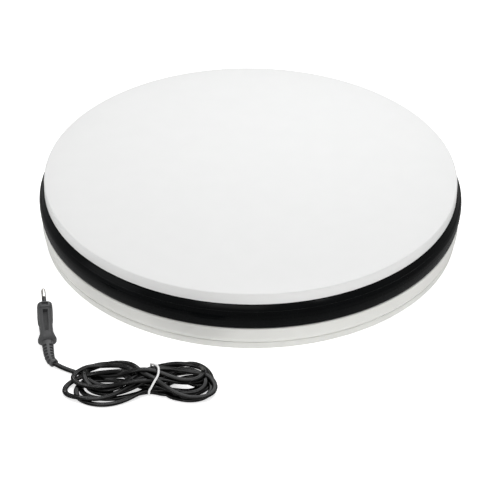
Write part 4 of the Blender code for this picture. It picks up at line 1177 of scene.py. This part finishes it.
def ring_radius(z):
    """The ring's outside at a height: a flatter curve below its widest point than above it."""
    end_r, end_z = RING_TOP if z > RING_BULGE[1] else RING_LOW
    share = (z - RING_BULGE[1]) / (end_z - RING_BULGE[1])
    return RING_BULGE[0] - (RING_BULGE[0] - end_r) * share**2


def make_ring():
    """The black ring: a set-back neck, a crisp ledge, and a bulge with fine ribs."""
    top_r, top_z = RING_TOP
    low_r, low_z = RING_LOW
    points = [(top_r - 0.0006, top_z), (top_r - 0.0002, top_z - 0.0004)]
    z = top_z - RING_STEP
    while z > low_z + RING_STEP / 2:
        points.append((ring_radius(z) - (RING_NECK_SET if z > RING_LEDGE_Z else 0.0), z))
        z -= RING_STEP
    points = [p for p in points if abs(p[1] - RING_LEDGE_Z) > RING_LEDGE_CLEAR]
    ledge = ring_radius(RING_LEDGE_Z)
    points += [(ledge - 0.0007, RING_LEDGE_Z + 0.0003), (ledge - 0.0002, RING_LEDGE_Z + 0.0002)]
    points += [(ledge, RING_LEDGE_Z - 0.0001)]
    for groove in RING_GROOVES:
        points = [p for p in points if abs(p[1] - groove) > 1.5 * RING_GROOVE_HALF]
        radius = ring_radius(groove)
        points += [(radius, groove + RING_GROOVE_HALF), (radius, groove - RING_GROOVE_HALF)]
        points += [(radius - RING_GROOVE_DEPTH, groove)]
    points.sort(key=lambda p: -p[1])
    points += [(low_r - 0.0002, low_z + 0.0002), (low_r - 0.0006, low_z)]
    points += [(RING_INNER_R, low_z), (RING_INNER_R, RING_LIP_LOW)]
    points += [(RING_LIP_R, RING_LIP_LOW), (RING_LIP_R, top_z)]
    material = MATERIALS["ring_black"]
    ring = turned("bumper_ring_moulding", points, material, sharp=RING_SHARP_DEGREES)
    stand_in(ring, "base", "gloss_black_ring", "bumper_ring")


def screw_places():
    """Where the four pan screws stand."""
    places = []
    for degrees in SCREW_DEGREES:
        angle = math.radians(degrees)
        x, y = SCREW_CIRCLE_R * math.cos(angle), SCREW_CIRCLE_R * math.sin(angle)
        places.append(Matrix.Translation((x, y, 0.0)))
    return places


def make_shell():
    """The upper base: a neck inside the ring, a straight wall, and a crease at its foot."""
    profile = [(SHELL_NECK_R, SHELL_NECK_TOP), (SHELL_NECK_WALL_R, SHELL_NECK_TOP)]
    profile += [(SHELL_NECK_WALL_R, SHELL_TOP)]
    profile += arc(SHELL_R - SHELL_EDGE, SHELL_TOP - SHELL_EDGE, SHELL_EDGE, 90, 0, 6)
    profile += [(SHELL_R, 0.0230), (SHELL_R, 0.0190), (SHELL_R, SHELL_WALL_LOW)]
    profile += SHELL_CREASE
    profile += [(PAN_SEAT_R, SHELL_CREASE[-1][1]), (SHELL_INNER_R, 0.0155)]
    profile += [(SHELL_INNER_R, SHELL_DECK_UNDER), (SHELL_NECK_R, SHELL_DECK_UNDER)]
    shell = turned("base_shell_moulding", profile, MATERIALS["base_white"])
    for place in screw_places():
        boolean(shell, placed(rod_bm(BOSS_R, BOSS_TOP, BOSS_LOW), place), "UNION")
        hole = rod_bm(SCREW_HOLE_R, SCREW_HOLE_TOP, 0.0, SCREW_HOLE_STEPS)
        boolean(shell, placed(hole, place))
    reach = PANEL_HALF_X + CUT_GAP
    low = (-reach, PANEL_Y - PANEL_BACK, 0.0)
    high = (reach, SHELL_R + PANEL_FRONT, PANEL_TOP + CUT_GAP)
    boolean(shell, box_bm(low, high))
    stand_in(shell, "base", "white_abs", "base_shell")


def make_pan():
    """The lower step: a dished pan with a raised middle and the four screws' holes."""
    profile = [(0.0, PAN_BOSS_TOP), (PAN_BOSS_R, PAN_BOSS_TOP), (PAN_BOSS_R, PAN_FLOOR_TOP)]
    profile += [(PAN_SEAT_R, PAN_FLOOR_TOP), (PAN_SEAT_R, PAN_WALL[0][1])]
    profile += PAN_WALL
    profile += arc(PAN_LOW_R - PAN_EDGE, PAN_UNDER + PAN_EDGE, PAN_EDGE, 0, -90, 6)
    profile += [(0.188, PAN_UNDER), (0.150, PAN_UNDER)]
    profile += [(0.149, PAN_UNDER + PAN_DISH), (0.080, PAN_UNDER + PAN_DISH)]
    profile += [(0.079, PAN_UNDER), (0.0, PAN_UNDER)]
    pan = turned("bottom_pan_moulding", profile, MATERIALS["base_white"], closed=False)
    steps = [(0.0, 0.02), (SCREW_HOLE_R, 0.02), (SCREW_HOLE_R, SCREW_HEAD_TOP)]
    steps += [(SCREW_HEAD_R, SCREW_HEAD_TOP), (SCREW_HEAD_R, 0.0), (0.0, 0.0)]
    for place in screw_places():
        boolean(pan, placed(turned_bm(steps, HOLE_STEPS, False), place))
    stand_in(pan, "base", "white_abs", "bottom_pan")


make_plate()
make_ring()
make_shell()
make_pan()

# ---- Finishes of the CAD nodes that stay --------------------------------
# Slots that don't share their look's name.
SLOT_LOOKS = {
    "white_abs": "base_white",
    "gloss_black_ring": "ring_black",
}


def dress_nodes():
    """Gives each CAD node the look of its slot."""
    for part in frame["record"]["subparts"]:
        slot = part["material_slot"]
        materials = frame["nodes"][part["node"]].data.materials
        materials.clear()
        materials.append(MATERIALS[SLOT_LOOKS.get(slot, slot)])


dress_nodes()
